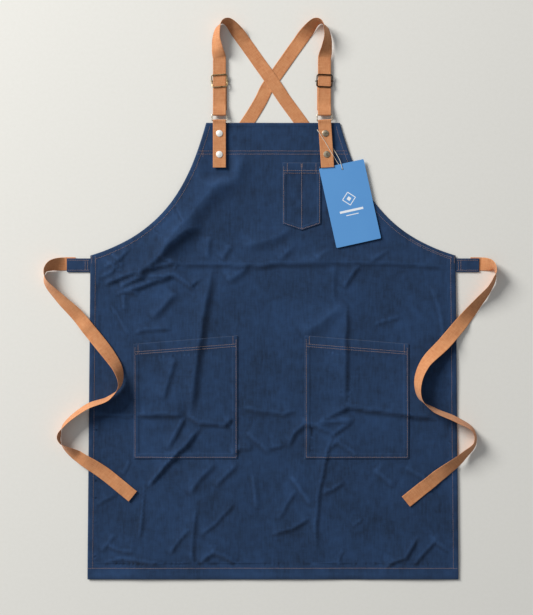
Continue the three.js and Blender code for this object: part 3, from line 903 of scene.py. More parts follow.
def denim_cloth(name, dark, middle, light, crest_tint_and_hollow_shade):
    material, tree, shader = new_material(name, 0.88, sheen=0.12, specular=0.2)
    place_on = coordinates(tree)
    twill = use_group(tree, TWILL, Vector=place_on, Ribs_per_metre=720)
    fade = use_group(tree, FADING, Vector=place_on, Size=11)
    colour = blended(tree, fade["Fade"], dark, middle)
    slub = maths(tree, "MULTIPLY_ADD", twill["Slub"], 4.0, -1.6, clamp=True)
    colour = blended(tree, maths(tree, "MULTIPLY", slub, 0.3), colour, light)
    # Tint from the cloth's relief: crests are blended towards the last colour, and hollows get painted shade.
    attribute = tree.nodes.new("ShaderNodeAttribute")
    attribute.attribute_name = "crest_tint_and_hollow_shade"
    ridge = maths(tree, "MULTIPLY_ADD", attribute.outputs["Fac"], 2.0, -1.1, clamp=True)
    # Painted shade: the cloth's hollows are darkened towards the dark colour.
    hollow = maths(tree, "MULTIPLY_ADD", attribute.outputs["Fac"], -2.0, 0.9, clamp=True)
    colour = blended(tree, maths(tree, "MULTIPLY", ridge, 0.16), colour, crest_tint_and_hollow_shade)
    colour = blended(tree, maths(tree, "MULTIPLY", hollow, 0.4), colour, dark)
    link(tree, colour, shader.inputs["Base Color"])
    rough = maths(tree, "MULTIPLY_ADD", twill["Slub"], 0.15, 0.8)
    link(tree, rough, shader.inputs["Roughness"])
    grain = maths(tree, "MULTIPLY_ADD", twill["Rib"], 0.45, maths(tree, "MULTIPLY", twill["Slub"], 0.9))
    bump(tree, shader, grain, 0.55, 0.00035)
    return material


def woven_tape(name, shade, base, light):
    material, tree, shader = new_material(name, 0.82, sheen=0.15, specular=0.25)
    weave = use_group(tree, WEAVE, Map=coordinates(tree, "UV"), Yarns_per_metre=900)
    fade = use_group(tree, FADING, Vector=coordinates(tree), Size=24)
    colour = blended(tree, fade["Fade"], shade, base)
    tone = maths(tree, "MULTIPLY_ADD", weave["Tone"], 4.0, -1.6, clamp=True)
    colour = blended(tree, maths(tree, "MULTIPLY", tone, 0.5), colour, light)
    # Painted shade: the gaps between the yarns are darkened towards the shade colour.
    yarn_gap_shade = maths(tree, "MULTIPLY_ADD", weave["Yarn"], -0.35, 0.3, clamp=True)
    colour = blended(tree, yarn_gap_shade, colour, shade)
    link(tree, colour, shader.inputs["Base Color"])
    link(tree, maths(tree, "MULTIPLY_ADD", weave["Tone"], 0.2, 0.7), shader.inputs["Roughness"])
    height = maths(tree, "MULTIPLY_ADD", weave["Yarn"], 0.6, weave["Tone"])
    bump(tree, shader, height, 0.5, 0.0003)
    return material


def spun_thread(name, dark, light, scale, strength=0.4):
    material, tree, shader = new_material(name, 0.7, sheen=0.1, specular=0.3)
    place_on = coordinates(tree)
    speckle = noise_on(tree, place_on, scale, 2, 0.6)
    share = maths(tree, "MULTIPLY_ADD", speckle, 3.0, -1.0, clamp=True)
    link(tree, blended(tree, share, dark, light), shader.inputs["Base Color"])
    link(tree, maths(tree, "MULTIPLY_ADD", speckle, 0.2, 0.6), shader.inputs["Roughness"])
    bump(tree, shader, speckle, strength, 0.0002)
    return material


def brass(name, bright, tarnish, roughness, cover, metallic=1.0):
    """Plated metal with darker, duller tarnish in patches."""
    material, tree, shader = new_material(name, roughness, metallic=metallic, specular=0.5)
    place_on = coordinates(tree)
    patch = noise_on(tree, place_on, 210, 4, 0.6)
    mask = maths(tree, "MULTIPLY_ADD", patch, 4.0, cover - 2.0, clamp=True)
    link(tree, blended(tree, mask, bright, tarnish), shader.inputs["Base Color"])
    dull = maths(tree, "MULTIPLY_ADD", mask, 0.2, roughness)
    scratch = noise_on(tree, scaled(tree, place_on, (400, 1800, 900)), 1, 2)
    link(tree, maths(tree, "MULTIPLY_ADD", scratch, 0.1, dull), shader.inputs["Roughness"])
    bump(tree, shader, scratch, 0.12, 0.0001)
    return material


def printed_card(name, base, light):
    material, tree, shader = new_material(name, 0.62, specular=0.35)
    place_on = coordinates(tree)
    fibre = noise_on(tree, place_on, 900, 4, 0.6)
    tint = noise_on(tree, place_on, 14, 2)
    share = maths(tree, "MULTIPLY_ADD", fibre, 0.35, maths(tree, "MULTIPLY", tint, 0.5))
    link(tree, blended(tree, share, base, light), shader.inputs["Base Color"])
    link(tree, maths(tree, "MULTIPLY_ADD", fibre, 0.2, 0.5), shader.inputs["Roughness"])
    bump(tree, shader, fibre, 0.12, 0.0001)
    return material


def plain_floor():
    material, tree, shader = new_material("Pale floor", 0.95, specular=0.1)
    place_on = coordinates(tree)
    grain = noise_on(tree, place_on, 160, 4, 0.6)
    link(tree, blended(tree, grain, srgb(230, 229, 223), srgb(236, 235, 230)),
         shader.inputs["Base Color"])
    bump(tree, shader, grain, 0.1, 0.0004)
    return material


DENIM = denim_cloth("Denim", srgb(14, 33, 57), srgb(33, 61, 99), srgb(52, 86, 130), srgb(58, 92, 138))
LINING = denim_cloth("Denim back", srgb(40, 58, 88), srgb(62, 84, 118), srgb(110, 130, 158),
                     srgb(120, 140, 165))
TAPE = woven_tape("Tan tape", srgb(182, 110, 66), srgb(214, 147, 97), srgb(236, 180, 132))
THREAD = spun_thread("Tan thread", srgb(158, 126, 114), srgb(204, 172, 156), 1400)
TAPE_THREAD = spun_thread("Tape thread", srgb(176, 108, 66), srgb(214, 150, 100), 1400)
TWINE = spun_thread("Twine", srgb(198, 190, 172), srgb(240, 234, 220), 1200, 0.5)
BRASS_BRIGHT = brass("Bright brass", srgb(204, 184, 142), srgb(104, 84, 54), 0.3, 0.35)
NICKEL = brass("Bright nickel", srgb(252, 250, 246), srgb(214, 208, 196), 0.5, -0.1, 0.6)
PALE_WIRE = brass("Pale wire", srgb(214, 206, 188), srgb(116, 102, 80), 0.3, 0.25)
BRASS_ANTIQUE = brass("Antique brass", srgb(188, 176, 156), srgb(112, 100, 80), 0.4, 0.4)
BRASS_DARK = brass("Dark bronze", srgb(104, 80, 54), srgb(44, 34, 26), 0.36, 0.95)
CARD = printed_card("Blue card", srgb(86, 148, 212), srgb(100, 164, 224))
CARD_PRINT = printed_card("White print", srgb(232, 240, 248), srgb(250, 252, 255))


# ---- Camera, light and floor ----


def set_scene():
    camera_data = bpy.data.cameras.new("Camera")
    camera_data.lens = 70
    camera_data.sensor_width = 36
    camera = bpy.data.objects.new("Camera", camera_data)
    camera.location = (-0.0123, -0.0151, 2.26)
    bpy.context.scene.collection.objects.link(camera)
    bpy.context.scene.camera = camera
    window = bpy.data.lights.new("Window", "AREA")
    window.shape = "RECTANGLE"
    window.size = 2.5
    window.size_y = 2.5
    window.energy = 480
    window.color = (1.0, 0.985, 0.96)
    lamp = bpy.data.objects.new("Window", window)
    lamp.location = (-4.2, 3.4, 3.0)
    lamp.rotation_euler = (-lamp.location).to_track_quat("-Z", "Y").to_euler()
    bpy.context.scene.collection.objects.link(lamp)
    world = bpy.data.worlds.new("Room")
    world.use_nodes = True
    world.node_tree.nodes["Background"].inputs["Color"].default_value = (0.95, 0.97, 1.0, 1)
    world.node_tree.nodes["Background"].inputs["Strength"].default_value = 0.29
    bpy.context.scene.world = world
    bpy.context.scene.view_settings.view_transform = "Standard"
    bpy.ops.mesh.primitive_plane_add(size=8, location=(0, 0, -0.0002))
    floor = bpy.context.object
    floor.name = "floor"
    floor.data.materials.append(plain_floor())


set_scene()


# ---- The tag's string ----

STRING_DIAMETER = 1.1
string_radius = STRING_DIAMETER / 2
tab_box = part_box("left_snap_tab")
tab_top_level = tab_box[1].z / MM - 0.6
card_low, card_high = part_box("hang_tag")
card_level = card_low.z / MM
card_top = card_high.z / MM
ring_level = sum(v.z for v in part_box("left_ring")) / 2 / MM
tab_under = ring_level - webbing
tab_face = ring_level + webbing
under_tab = (sheet_top + tab_under) / 2
on_tab = tab_face + gap + string_radius
on_card = card_top + gap + string_radius
under_card = card_level - gap - string_radius

# From the card's hole: up through it, behind the tab, across its face between the snaps, and back
# behind the card to the hole.
STRING_ROUTE = [
    (0.4, -0.8, 5.1),
    (0.1, -0.3, 6.5),
    (-1.2, 4, on_card),
    (-4.3, 15, on_card),
    (-10.4, 27, 6.3),
    (-15.4, 35.6, 5.3),
    (-21.6, 45, under_tab),
    (-32.8, 57.5, under_tab),
    (-42.8, 69, under_tab),
    (-46.4, 73.6, 5.6),
    (-47.6, 74, 7.2),
    (-46.2, 71.6, 8.5),
    (-42.8, 66.5, on_tab),
    (-33.8, 52.5, on_tab),
    (-21.8, 32.5, on_tab),
    (-17.8, 26, 8.4),
    (-16.3, 23.6, 6.9),
    (-14.6, 21, 5.5),
    (-10.8, 15, under_card),
    (-1.8, 2, under_card),
]


def make_string():
    """A two-ply string, its plies twisted round each other along the route."""
    curve = spline([(hole_x + x, hole_y + y, z) for x, y, z in STRING_ROUTE], 0.25)
    steps = 420
    path = [curve(i / steps) for i in range(steps + 1)]
    mesh = bmesh.new()
    rings = []
    run = 0.0
    for i, point in enumerate(path):
        along = (path[min(steps, i + 1)] - path[max(0, i - 1)]).normalized()
        side = along.cross(Vector((0, 0, 1)))
        side = side.normalized() if side.length > 0.05 else Vector((1, 0, 0))
        up = side.cross(along).normalized()
        side = along.cross(up).normalized()
        turn = math.tau * run / 3.2
        ring = []
        for k in range(12):
            a = math.tau * k / 12
            radius = string_radius * (0.84 + 0.16 * abs(math.cos(a - turn)) ** 1.5)
            ring.append(
                mesh.verts.new(place(*(point + side * (radius * math.cos(a)) + up * (radius * math.sin(a)))))
            )
        rings.append(ring)
        if i < steps:
            run += (path[i + 1] - point).length
    for a, b in zip(rings, rings[1:]):
        for k in range(12):
            j = (k + 1) % 12
            mesh.faces.new((a[k], b[k], b[j], a[j]))
    mesh.faces.new(list(reversed(rings[0])))
    mesh.faces.new(rings[-1])
    bmesh.ops.recalc_face_normals(mesh, faces=mesh.faces)
    piece = new_piece("tag_cord", mesh)
    shade_smooth(piece)
    finish_piece(piece, "right_tab", TWINE, "twine", "tag_string")


# ---- The hang tag ----


def turn_in_place(piece, degrees, centre):
    """Turns a piece's mesh about an upright axis."""
    spin = Matrix.Rotation(math.radians(degrees), 4, "Z")
    piece.data.transform(Matrix.Translation(centre) @ spin @ Matrix.Translation(-centre))


def flat_block(name, centre, size, level, thickness, rounding=0.0, segments=6):
    """A thin upright block with rounded corners, in the pattern's millimetres."""
    choose_none()
    bpy.ops.mesh.primitive_plane_add(size=1, location=(0, 0, 0))
    piece = bpy.context.object
    piece.name = name
    piece.data.transform(Matrix.Diagonal((size[0] * MM, size[1] * MM, 1, 1)))
    bpy.ops.object.mode_set(mode="EDIT")
    bpy.ops.mesh.select_all(action="SELECT")
    if rounding:
        bpy.ops.mesh.bevel(
            offset=rounding * MM, offset_type="OFFSET", segments=segments, affect="VERTICES"
        )
        bpy.ops.mesh.select_all(action="SELECT")
    bpy.ops.mesh.extrude_region_move(TRANSFORM_OT_translate={"value": (0, 0, thickness * MM)})
    bpy.ops.mesh.select_all(action="SELECT")
    bpy.ops.mesh.normals_make_consistent(inside=False)
    bpy.ops.object.mode_set(mode="OBJECT")
    piece.data.transform(Matrix.Translation(place(centre[0], centre[1], level)))
    return piece


def choose_none():
    if bpy.context.object and bpy.context.object.mode == "EDIT":
        bpy.ops.object.mode_set(mode="OBJECT")
    bpy.ops.object.select_all(action="DESELECT")


TAG_SIZE = (86, 153)
TAG_TURN = 12.5
TAG_HOLE_MARGIN = 10


def make_tag():
    """A thick printed card with a punched hole, and a plain printed motif."""
    centre = (hole_x, hole_y + TAG_HOLE_MARGIN - TAG_SIZE[1] / 2)
    pivot = place(hole_x, hole_y, 0)
    card = flat_block("tag_card", centre, TAG_SIZE, card_level, card_top - card_level, 2)
    choose_none()
    bpy.ops.mesh.primitive_cylinder_add(
        vertices=40, radius=1.7 * MM, depth=0.01, location=place(hole_x, hole_y, card_level)
    )
    punch = bpy.context.object
    cut = card.modifiers.new("Punched hole", "BOOLEAN")
    cut.object = punch
    cut.solver = "EXACT"
    apply_modifiers(card)
    bpy.data.objects.remove(punch)
    edge = card.modifiers.new("Soft edge", "BEVEL")
    edge.width = 0.12 * MM
    edge.segments = 2
    edge.limit_method = "ANGLE"
    apply_modifiers(card)
    printed = []
    ink = card_top + 0.02
    ring = flat_block("tag_print_diamond", (hole_x, hole_y - 57), (19, 19), ink, 0.05, 1.2, 4)
    hollow_out(ring, 1.5)
    turn_in_place(ring, 45, place(hole_x, hole_y - 57, 0))
    printed.append(ring)
    core = flat_block("tag_print_core", (hole_x, hole_y - 57), (6.5, 6.5), ink, 0.05, 0.8, 4)
    turn_in_place(core, 45, place(hole_x, hole_y - 57, 0))
    printed.append(core)
    for i, (width, tall, down) in enumerate([(45, 4.2, 79.5), (24, 1.6, 87.5)]):
        printed.append(
            flat_block(f"tag_print_bar_{i + 1}", (hole_x, hole_y - down), (width, tall), ink, 0.05, 0.7, 3)
        )
    for piece in (card, *printed):
        turn_in_place(piece, TAG_TURN, pivot)
    finish_piece(card, "tag", CARD, "card", "hang_tag")
    for piece in printed:
        finish_piece(piece, "tag", CARD_PRINT, "card")
    return card


def hollow_out(piece, rim):
    """Cuts the middle out of a flat block, leaving a rim."""
    choose(piece)
    bpy.ops.object.mode_set(mode="EDIT")
    bpy.ops.mesh.select_mode(type="FACE")
    for wanted in (1, -1):
        mesh = bmesh.from_edit_mesh(piece.data)
        for face in mesh.faces:
            face.select = face.normal.z * wanted > 0.9 and face.calc_area() > 1e-6
        bmesh.update_edit_mesh(piece.data)
        bpy.ops.mesh.inset(thickness=rim * MM)
    mesh = bmesh.from_edit_mesh(piece.data)
    middle = sum((v.co for v in mesh.verts), Vector()) / len(mesh.verts)
    for face in mesh.faces:
        away = face.calc_center_median() - middle
        face.select = abs(face.normal.z) > 0.9 and away.xy.length < 0.3 * rim * MM
    bmesh.update_edit_mesh(piece.data)
    bpy.ops.mesh.bridge_edge_loops()
    bpy.ops.object.mode_set(mode="OBJECT")


make_string()
make_tag()


# ---- Panel, facing and pockets ----

HEM_GRID = 3.8
bib_panel = [
    (straight((-hem_half, 0), (hem_half, 0)), bottom_hem),
    (straight((hem_half, 0), (waist_half, waist_height)), side_hem),
    ([armhole(i / 80) for i in range(81)], armhole_hem),
    (straight((bib_half, bib_height), (-bib_half, bib_height)), bib_hem),
    ([armhole(1 - i / 80) * Vector((-1, 1)) for i in range(81)], armhole_hem),
    (straight((-waist_half, waist_height), (-hem_half, 0)), side_hem),
]


def mirrored(points):
    return [Vector((-p.x, p.y)) for p in points]


bib_panel[4] = (mirrored(reversed([armhole(i / 80) for i in range(81)])), armhole_hem)
PANEL_MID = denim / 2


def panel_height(x, y):
    return panel_top(x, y) - PANEL_MID


def make_panel():
    panel = turned_cloth("denim_panel", bib_panel, HEM_GRID, panel_height, 0.35, 1.9)
    finish_piece(panel, "apron", DENIM, "denim", "apron_panel")
    hems = Stitching("hem_stitching")
    on_band = lambda x, y: panel_top(x, y) + 0.35
    lines = inset_lines(bib_panel, 0.95)
    hems.row(straight((-hem_half + 1, bottom_hem - 1), (hem_half - 1, bottom_hem - 1)), on_band)
    for i in (1, 2, 4, 5):
        hems.row(lines[i], on_band, thickness=0.36)
    second = inset_lines(bib_panel, 0.62)[2]
    hems.row(second[: len(second) // 4], on_band)
    for sign in (-1, 1):
        for inset in (2.5, 9):
            x = sign * (waist_half - inset)
            hems.row(straight((x, waist_height - 1), (x, waist_height - 15)), on_band, pitch=2.4)
    hems.finish("apron")


def make_facing():
    """The second layer behind the bib, and the two rows of stitches that hold it."""
    top = bib_height - 1.6
    outline = [
        (straight((-facing_half, facing_bottom), (facing_half, facing_bottom)), 6),
        (straight((facing_half, facing_bottom), (facing_half, top)), 6),
        (straight((facing_half, top), (-facing_half, top)), 6),
        (straight((-facing_half, top), (-facing_half, facing_bottom)), 6),
    ]
    behind = lambda x, y: min(facing_mid, panel_top(x, y) - 1.35)
    facing = turned_cloth("bib_lining", outline, 5, behind, 0, 0.01, 0.6)
    finish_piece(facing, "apron", LINING, "denim", "bib_facing")
    rows = Stitching("bib_stitching")
    armhole_points = [armhole(i / 60) for i in range(61)]
    for down in (53, 59):
        y = bib_height - down
        half = min(armhole_points, key=lambda p: abs(p.y - y)).x - 2
        rows.row(straight((-half, y), (half, y)), lambda x, y: panel_top(x, y) + (0.36 if abs(x) > half - 12 else 0.12))
    y = bib_height - 56
    left = 10.5 - half
    rows.row(straight((left, y - 8), (left, y + 8)), panel_top, pitch=2.4)
    rows.finish("apron")


def pocket_face(x, y):
    """The pocket's own fullness, over the panel."""
    fullness = 0.35 * noise.noise(Vector((x / 34, y / 42, 12.0)))
    return panel_top(x, y) + 0.55 + max(0, fullness)


def on_pocket(x, y):
    return pocket_face(x, y) + 0.8 + denim / 2


def make_lower_pocket(side, node):
    low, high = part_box(node)
    x0 = low.x / MM
    x1 = high.x / MM
    bottom = (low.y - HEM_Y) / MM
    top = (high.y - HEM_Y) / MM
    outer_top = top - 16
    left_top, right_top = (outer_top, top) if side == "left" else (top, outer_top)
    outline = [
        (straight((x0, bottom), (x1, bottom)), 9),
        (straight((x1, bottom), (x1, right_top)), 9),
        (straight((x1, right_top), (x0, left_top)), 21),
        (straight((x0, left_top), (x0, bottom)), 9),
    ]
    pocket = turned_cloth(f"{side}_patch_pocket", outline, 4.2, pocket_face, 0.8, 0.85)
    finish_piece(pocket, "apron", DENIM, "denim", node)
    rows = Stitching(f"{side}_pocket_stitching")
    sides = inset_lines(outline, 0.3)
    for i in (0, 1, 3):
        rows.row(sides[i], on_pocket)
    for share in (0.72, 0.93):
        line = inset_lines(outline, share)[2]
        ends = inset_lines(outline, 0.3)[2]
        rows.row([Vector((ends[0].x, line[0].y)), Vector((ends[-1].x, line[-1].y))], on_pocket)
    for x, upper in ((x0 + 8.5, left_top), (x1 - 8.5, right_top)):
        rows.row(straight((x, upper - 1), (x, upper - 17)), on_pocket, pitch=2.8)
    rows.finish("apron")


def make_chest_pocket():
    low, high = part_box("chest_pocket")
    x0 = low.x / MM
    x1 = high.x / MM
    middle = (x0 + x1) / 2
    point = (low.y - HEM_Y) / MM
    side_bottom = point + 12
    top = (high.y - HEM_Y) / MM
    outline = [
        (straight((x0, side_bottom), (middle, point)), 6),
        (straight((middle, point), (x1, side_bottom)), 6),
        (straight((x1, side_bottom), (x1, top)), 6),
        (straight((x1, top), (x0, top)), 19),
        (straight((x0, top), (x0, side_bottom)), 6),
    ]
    pocket = turned_cloth("pen_pocket", outline, 3.4, pocket_face, 0.8, 0.85)
    finish_piece(pocket, "apron", DENIM, "denim", "chest_pocket")
    rows = Stitching("chest_pocket_stitching")
    sides = inset_lines(outline, 0.36)
    for i in (0, 1, 2, 4):
        rows.row(sides[i], on_pocket)
    for down in (14.5, 19.5):
        rows.row(straight((x0 + 2, top - down), (x1 - 2, top - down)), on_pocket)
    rows.row(straight((middle, point + 3), (middle, top - 2)), on_pocket)
    for x in (x0 + 9, x1 - 9):
        rows.row(straight((x, top - 1), (x, top - 18)), on_pocket, pitch=2.8)
    for x in (middle - 1.1, middle + 1.1):
        rows.row(straight((x, top - 1), (x, top - 9)), on_pocket, pitch=2)
    rows.finish("apron")


make_panel()
make_facing()
make_lower_pocket("left", "left_pocket")
make_lower_pocket("right", "right_pocket")
make_chest_pocket()


# ---- Waist tabs and ties ----

# Each tie's route: out beyond the waist tab's outer end, up from its middle, and twist.
TIE_ROUTES = {
    "left": [
        (-16, 2.5, 0),
        (4, 2.5, 0),
        (29, -1, 45),
        (39.5, -12, 88),
        (38.5, -31, 115),
        (11.5, -63, 142),
        (-18.5, -93, 165),
        (-45.5, -126, 180),
        (-80.5, -169, 208),
        (-98.5, -198, 232),
        (-101.5, -227, 264),
        (-80.5, -250, 286),
        (-39.5, -266, 292),
        (4.5, -301, 284),
        (13.5, -322, 263),
        (9.5, -336, 276),
        (-18.5, -358, 332),
        (-67.5, -390, 358),
        (-124.5, -436, 360),
    ],
    "right": [
        (-16, 2.5, 0),
        (4, 2.3, 0),
        (20, 0, -38),
        (28.5, -9, -86),
        (28.5, -22, -110),
        (19, -43, -119),
        (-3.5, -71.5, -140),
        (-35.5, -111.5, -176),
        (-68.5, -149, -198),
        (-103.5, -185, -226),
        (-117, -220, -242),
        (-112.5, -251, -262),
        (-88.5, -271, -288),
        (-45.5, -290, -293),
        (-12.5, -311, -286),
        (-9.5, -335, -291),
        (-34.5, -362, -316),
        (-80.5, -399, -350),
        (-138.5, -446, -360),
    ],
}

pocket_reach = {
    side: tuple(abs(v.x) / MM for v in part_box(f"{side}_pocket")) for side, _ in SIDES
}


def make_waist(side, sign):
    low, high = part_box(f"{side}_waist_tab")
    inner = min(abs(low.x), abs(high.x)) / MM
    outer = max(abs(low.x), abs(high.x)) / MM
    level = (low.z + high.z) / 2 / MM

    def ground(x, y):
        """The top of what a tie lies on: the pocket, the panel, or the table beside them."""
        if y > tab_middle - 2 * tie_width:
            return 0.0
        off = side_edge(y) - abs(x)
        near = 0.0
        for dx, dy in ((0, 0), (7, 0), (-7, 0), (0, 7), (0, -7)):
            near = max(near, lift(x + dx, y + dy))
        reach = max(pocket_reach[side]) + 4 - abs(x)
        above = 1.7 * smooth(-12, 4, reach) * smooth(205, 225, y) * (1 - smooth(450, 470, y))
        return max(0.0, (sheet_top + near + 0.55 + above) * smooth(-22, -4, off))

    route = [
        (sign * (outer + out), tab_middle + up, 0, twist) for out, up, twist in TIE_ROUTES[side]
    ]
    stations = twisted_route(route, tie_width, 330, ground)
    tie = woven_strip(f"{side}_tape_tie", stations, tie_width, end_fold=13, ripple_from=20)
    finish_piece(tie, "apron", TAPE, "webbing", f"{side}_waist_tie")
    rows = Stitching(f"{side}_tie_stitching")
    end_centre, end_along, end_across = stations[-1]
    for back in (2.5, 10.5):
        for face in (1, -1):
            normal = end_across.cross(end_along).normalized() * face
            middle = end_centre - end_along * back + normal * (webbing * 0.82)
            reach = end_across * (tie_width / 2 - 2)
            line = [place(*(middle + reach * s)) for s in (-1, 1)]
            count = 7
            for i in range(count):
                a = line[0].lerp(line[1], i / count)
                b = line[0].lerp(line[1], (i + 0.78) / count)
                rows.stitch(a, b, normal, 0.55 * MM)
    rows.finish("apron", TAPE_THREAD)

    # The tab is folded denim: a flat loop that runs in under the panel's edge, with the tie inside.
    x0, x1 = sorted((sign * (inner - 0.0), sign * outer))
    outline = [
        (straight((x0, tab_middle - 12.5), (x1, tab_middle - 12.5)), 2.5),
        (straight((x1, tab_middle - 12.5), (x1, tab_middle + 12.5)), 2.5),
        (straight((x1, tab_middle + 12.5), (x0, tab_middle + 12.5)), 2.5),
        (straight((x0, tab_middle + 12.5), (x0, tab_middle - 12.5)), 2.5),
    ]
    tab_height = lambda x, y: level + 0.15 + 0.2 * noise.noise(Vector((x / 12, y / 12, 4)))
    tab = turned_cloth(f"{side}_denim_tab", outline, 2.2, tab_height, 0.12, 0.82, 0.7)
    finish_piece(tab, "apron", DENIM, "denim", f"{side}_waist_tab")
    seams = Stitching(f"{side}_tab_stitching")
    on_tab_face = lambda x, y: tab_height(x, y) + 0.47
    for up in (-9.5, 9.5):
        seams.row(straight((x0 + 2, tab_middle + up), (x1 - 1.5, tab_middle + up)), on_tab_face,
                  thickness=0.5)
    at = sign * (inner + 5)
    for dx in (0, 4.5):
        x = at + sign * dx
        seams.row(straight((x, tab_middle - 9.5), (x, tab_middle + 9.5)), on_tab_face, pitch=2.6)
    seams.finish("apron")


for side, sign in SIDES:
    make_waist(side, sign)


# ---- Shoulder straps ----


STRAP_SPREAD = {"left": 1, "right": 0.83}


def shoulder_route(over, spread):
    """From the slider up over the shoulder, across, and down to the bib's top."""
    reach = 0.6 * strap_width
    return [
        (1, 43.4, strap_level, 0),
        (1.04, 61.4, 0.8 * strap_level, 34),
        (1.06, 81.4, 0.5 * strap_level, 54),
        (1.025, 98.4, 1.2, 66),
        (0.94, 109.4, 0.6, 92),
        (0.835, 109.6, 0.4, 120),
        (0.665, 92.4, 0, 160),
        (0.505, 71.4, 0, 180),
        (0.24, 34.4, 0, 180),
        (0.007 * reach, 0.4 + reach, over, 180),
        (-0.007 * reach, 0.4 - reach, over, 180),
        (-0.25 * spread, -35.6, 0, 180),
        (-0.515 * spread, -71.6, 0, 180),
    ]


# Behind the panel: shares of the way across and down to the waist corner.
HIDDEN_ROUTE = [(0.27, 0.36), (0.5, 0.65), (0.73, 0.884), (1, 1.056)]
WAIST_ANCHOR = 40


def rounded_stations(points, x, per_corner=6):
    """Stations along a side view of (y, z) points, for a strip that lies across X."""
    curve = spline([(0, y, z) for y, z in points], 0.25)
    steps = per_corner * (len(points) - 1)
    line = [curve(i / steps) for i in range(steps + 1)]
    stations = []
    for i, p in enumerate(line):
        along = (line[min(steps, i + 1)] - line[max(0, i - 1)]).normalized()
        stations.append((Vector((x, p.y, p.z)), along, Vector((1, 0, 0))))
    return stations


def ring_turn(centre_y, level, radius, start, end, steps=10):
    """Points of a turn of webbing round a wire, in the side view."""
    points = []
    for i in range(steps + 1):
        a = math.radians(start + (end - start) * i / steps)
        points.append((centre_y + radius * math.cos(a), level + radius * math.sin(a)))
    return points


def make_shoulder_strap(side, sign):
    x = strap_x[side]
    over = webbing + gap if side == "left" else 0
    half = webbing / 2
    rise = strap_level + half
    points = [
        (ring_upper + 9, half),
        (ring_upper + 6, half + 0.6),
        *ring_turn(ring_upper, ring_level, loop_radius, -75, -285, 12),
        (ring_upper + 7, ring_level + 1.0),
        (slider_height - slider_travel - slider_half_height - 2, rise + 0.05),
        (slider_height - 20, rise),
        (slider_height, rise),
        (slider_height + 20, rise),
        (slider_height + 38, rise),
    ]
    stations = rounded_stations(points, x)
    route = [
        (bib_shift + sign * out * strap_offset, slider_height + up, base, -sign * twist)
        for out, up, base, twist in shoulder_route(over, STRAP_SPREAD[side])
    ]
    start_x = route[-1][0]
    end_x = -sign * (waist_half - WAIST_ANCHOR)
    for across, down in HIDDEN_ROUTE:
        y = bib_height - down * (bib_height - waist_height)
        route.append((start_x + across * (end_x - start_x), y, 0, -sign * 180))
    shoulder = twisted_route(route, strap_width, 300)
    stations += shoulder
    strap = woven_strip(f"{side}_tape_strap", stations, strap_width, ripple_from=1e9)
    finish_piece(strap, "apron", TAPE, "webbing", f"{side}_shoulder_strap")
    rows = Stitching(f"{side}_strap_stitching")
    for offset in (-strap_width / 2 + 2.2, strap_width / 2 - 2.2):
        for face in (1, -1):
            sewn_along(rows, stations, offset, 32, 420, face, thickness=0.34)
    rows.finish("apron", TAPE_THREAD)

    # The strap's end: down from round the slider's bar to where it turns under the ring.
    aside = x - sign * 1.4
    bar_turn = bar_radius + gap + half
    back = [
        (ring_upper + 9.2, half + 0.02),
        (ring_upper + 18, half + 0.5),
        (slider_height - 24, half + 0.6),
        (slider_height - 9, bar_level - bar_turn * 0.8),
        *ring_turn(slider_height, bar_level, bar_turn, -90, 90, 8),
        (slider_height - 7, bar_level + bar_turn * 0.55),
        (slider_height - 13, half + 1.75),
        (slider_height - 17, half + 1.55),
    ]
    end = woven_strip(f"{side}_tape_end", rounded_stations(back, aside, 5), strap_width)
    end.data.materials.clear()
    end.data.materials.append(TAPE)
    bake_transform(end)
    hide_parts(f"{side}_strap_end")


for side, sign in SIDES:
    make_shoulder_strap(side, sign)


# ---- Wire hardware ----


def wire_frame(name, half_x, half_y, corner, radius, arch, body, material, node, turn, pivot, shift):
    """A wire bent into a rounded rectangle, its ends arched up, built about the frame's origin."""
    choose_none()
    bpy.ops.mesh.primitive_plane_add(size=1)
    piece = bpy.context.object
    piece.name = name
    piece.data.transform(Matrix.Diagonal((2 * half_x, 2 * half_y, 1, 1)))
    bpy.ops.object.mode_set(mode="EDIT")
    bpy.ops.mesh.select_all(action="SELECT")
    bpy.ops.mesh.bevel(offset=corner, offset_type="OFFSET", segments=8, affect="VERTICES")
    bpy.ops.mesh.select_all(action="SELECT")
    bpy.ops.mesh.delete(type="ONLY_FACE")
    mesh = bmesh.from_edit_mesh(piece.data)
    for edge in mesh.edges:
        edge.select = edge.calc_length() > corner
    bmesh.update_edit_mesh(piece.data)
    bpy.ops.mesh.subdivide(number_cuts=9)
    bpy.ops.object.mode_set(mode="OBJECT")
    for v in piece.data.vertices:
        v.co.z += arch * (v.co.y / half_y) ** 2
    choose(piece)
    bpy.ops.object.convert(target="CURVE")
    piece = bpy.context.object
    piece.data.bevel_depth = radius
    piece.data.bevel_resolution = 5
    piece.data.use_fill_caps = False
    bpy.ops.object.convert(target="MESH")
    piece = bpy.context.object
    piece.data.transform(Matrix.Translation(Vector((0, shift, 0))))
    piece.data.transform(Matrix.Rotation(math.radians(turn), 4, "Z"))
    piece.data.transform(Matrix.Diagonal((MM, MM, MM, 1)))
    piece.data.transform(Matrix.Translation(pivot))
    choose(piece)
    bpy.ops.object.mode_set(mode="EDIT")
    bpy.ops.mesh.select_all(action="SELECT")
    bpy.ops.mesh.remove_doubles(threshold=1e-6)
    bpy.ops.mesh.normals_make_consistent(inside=False)
    bpy.ops.object.mode_set(mode="OBJECT")
    shade_smooth(piece)
    return finish_piece(piece, body, material, "antique_brass", node)


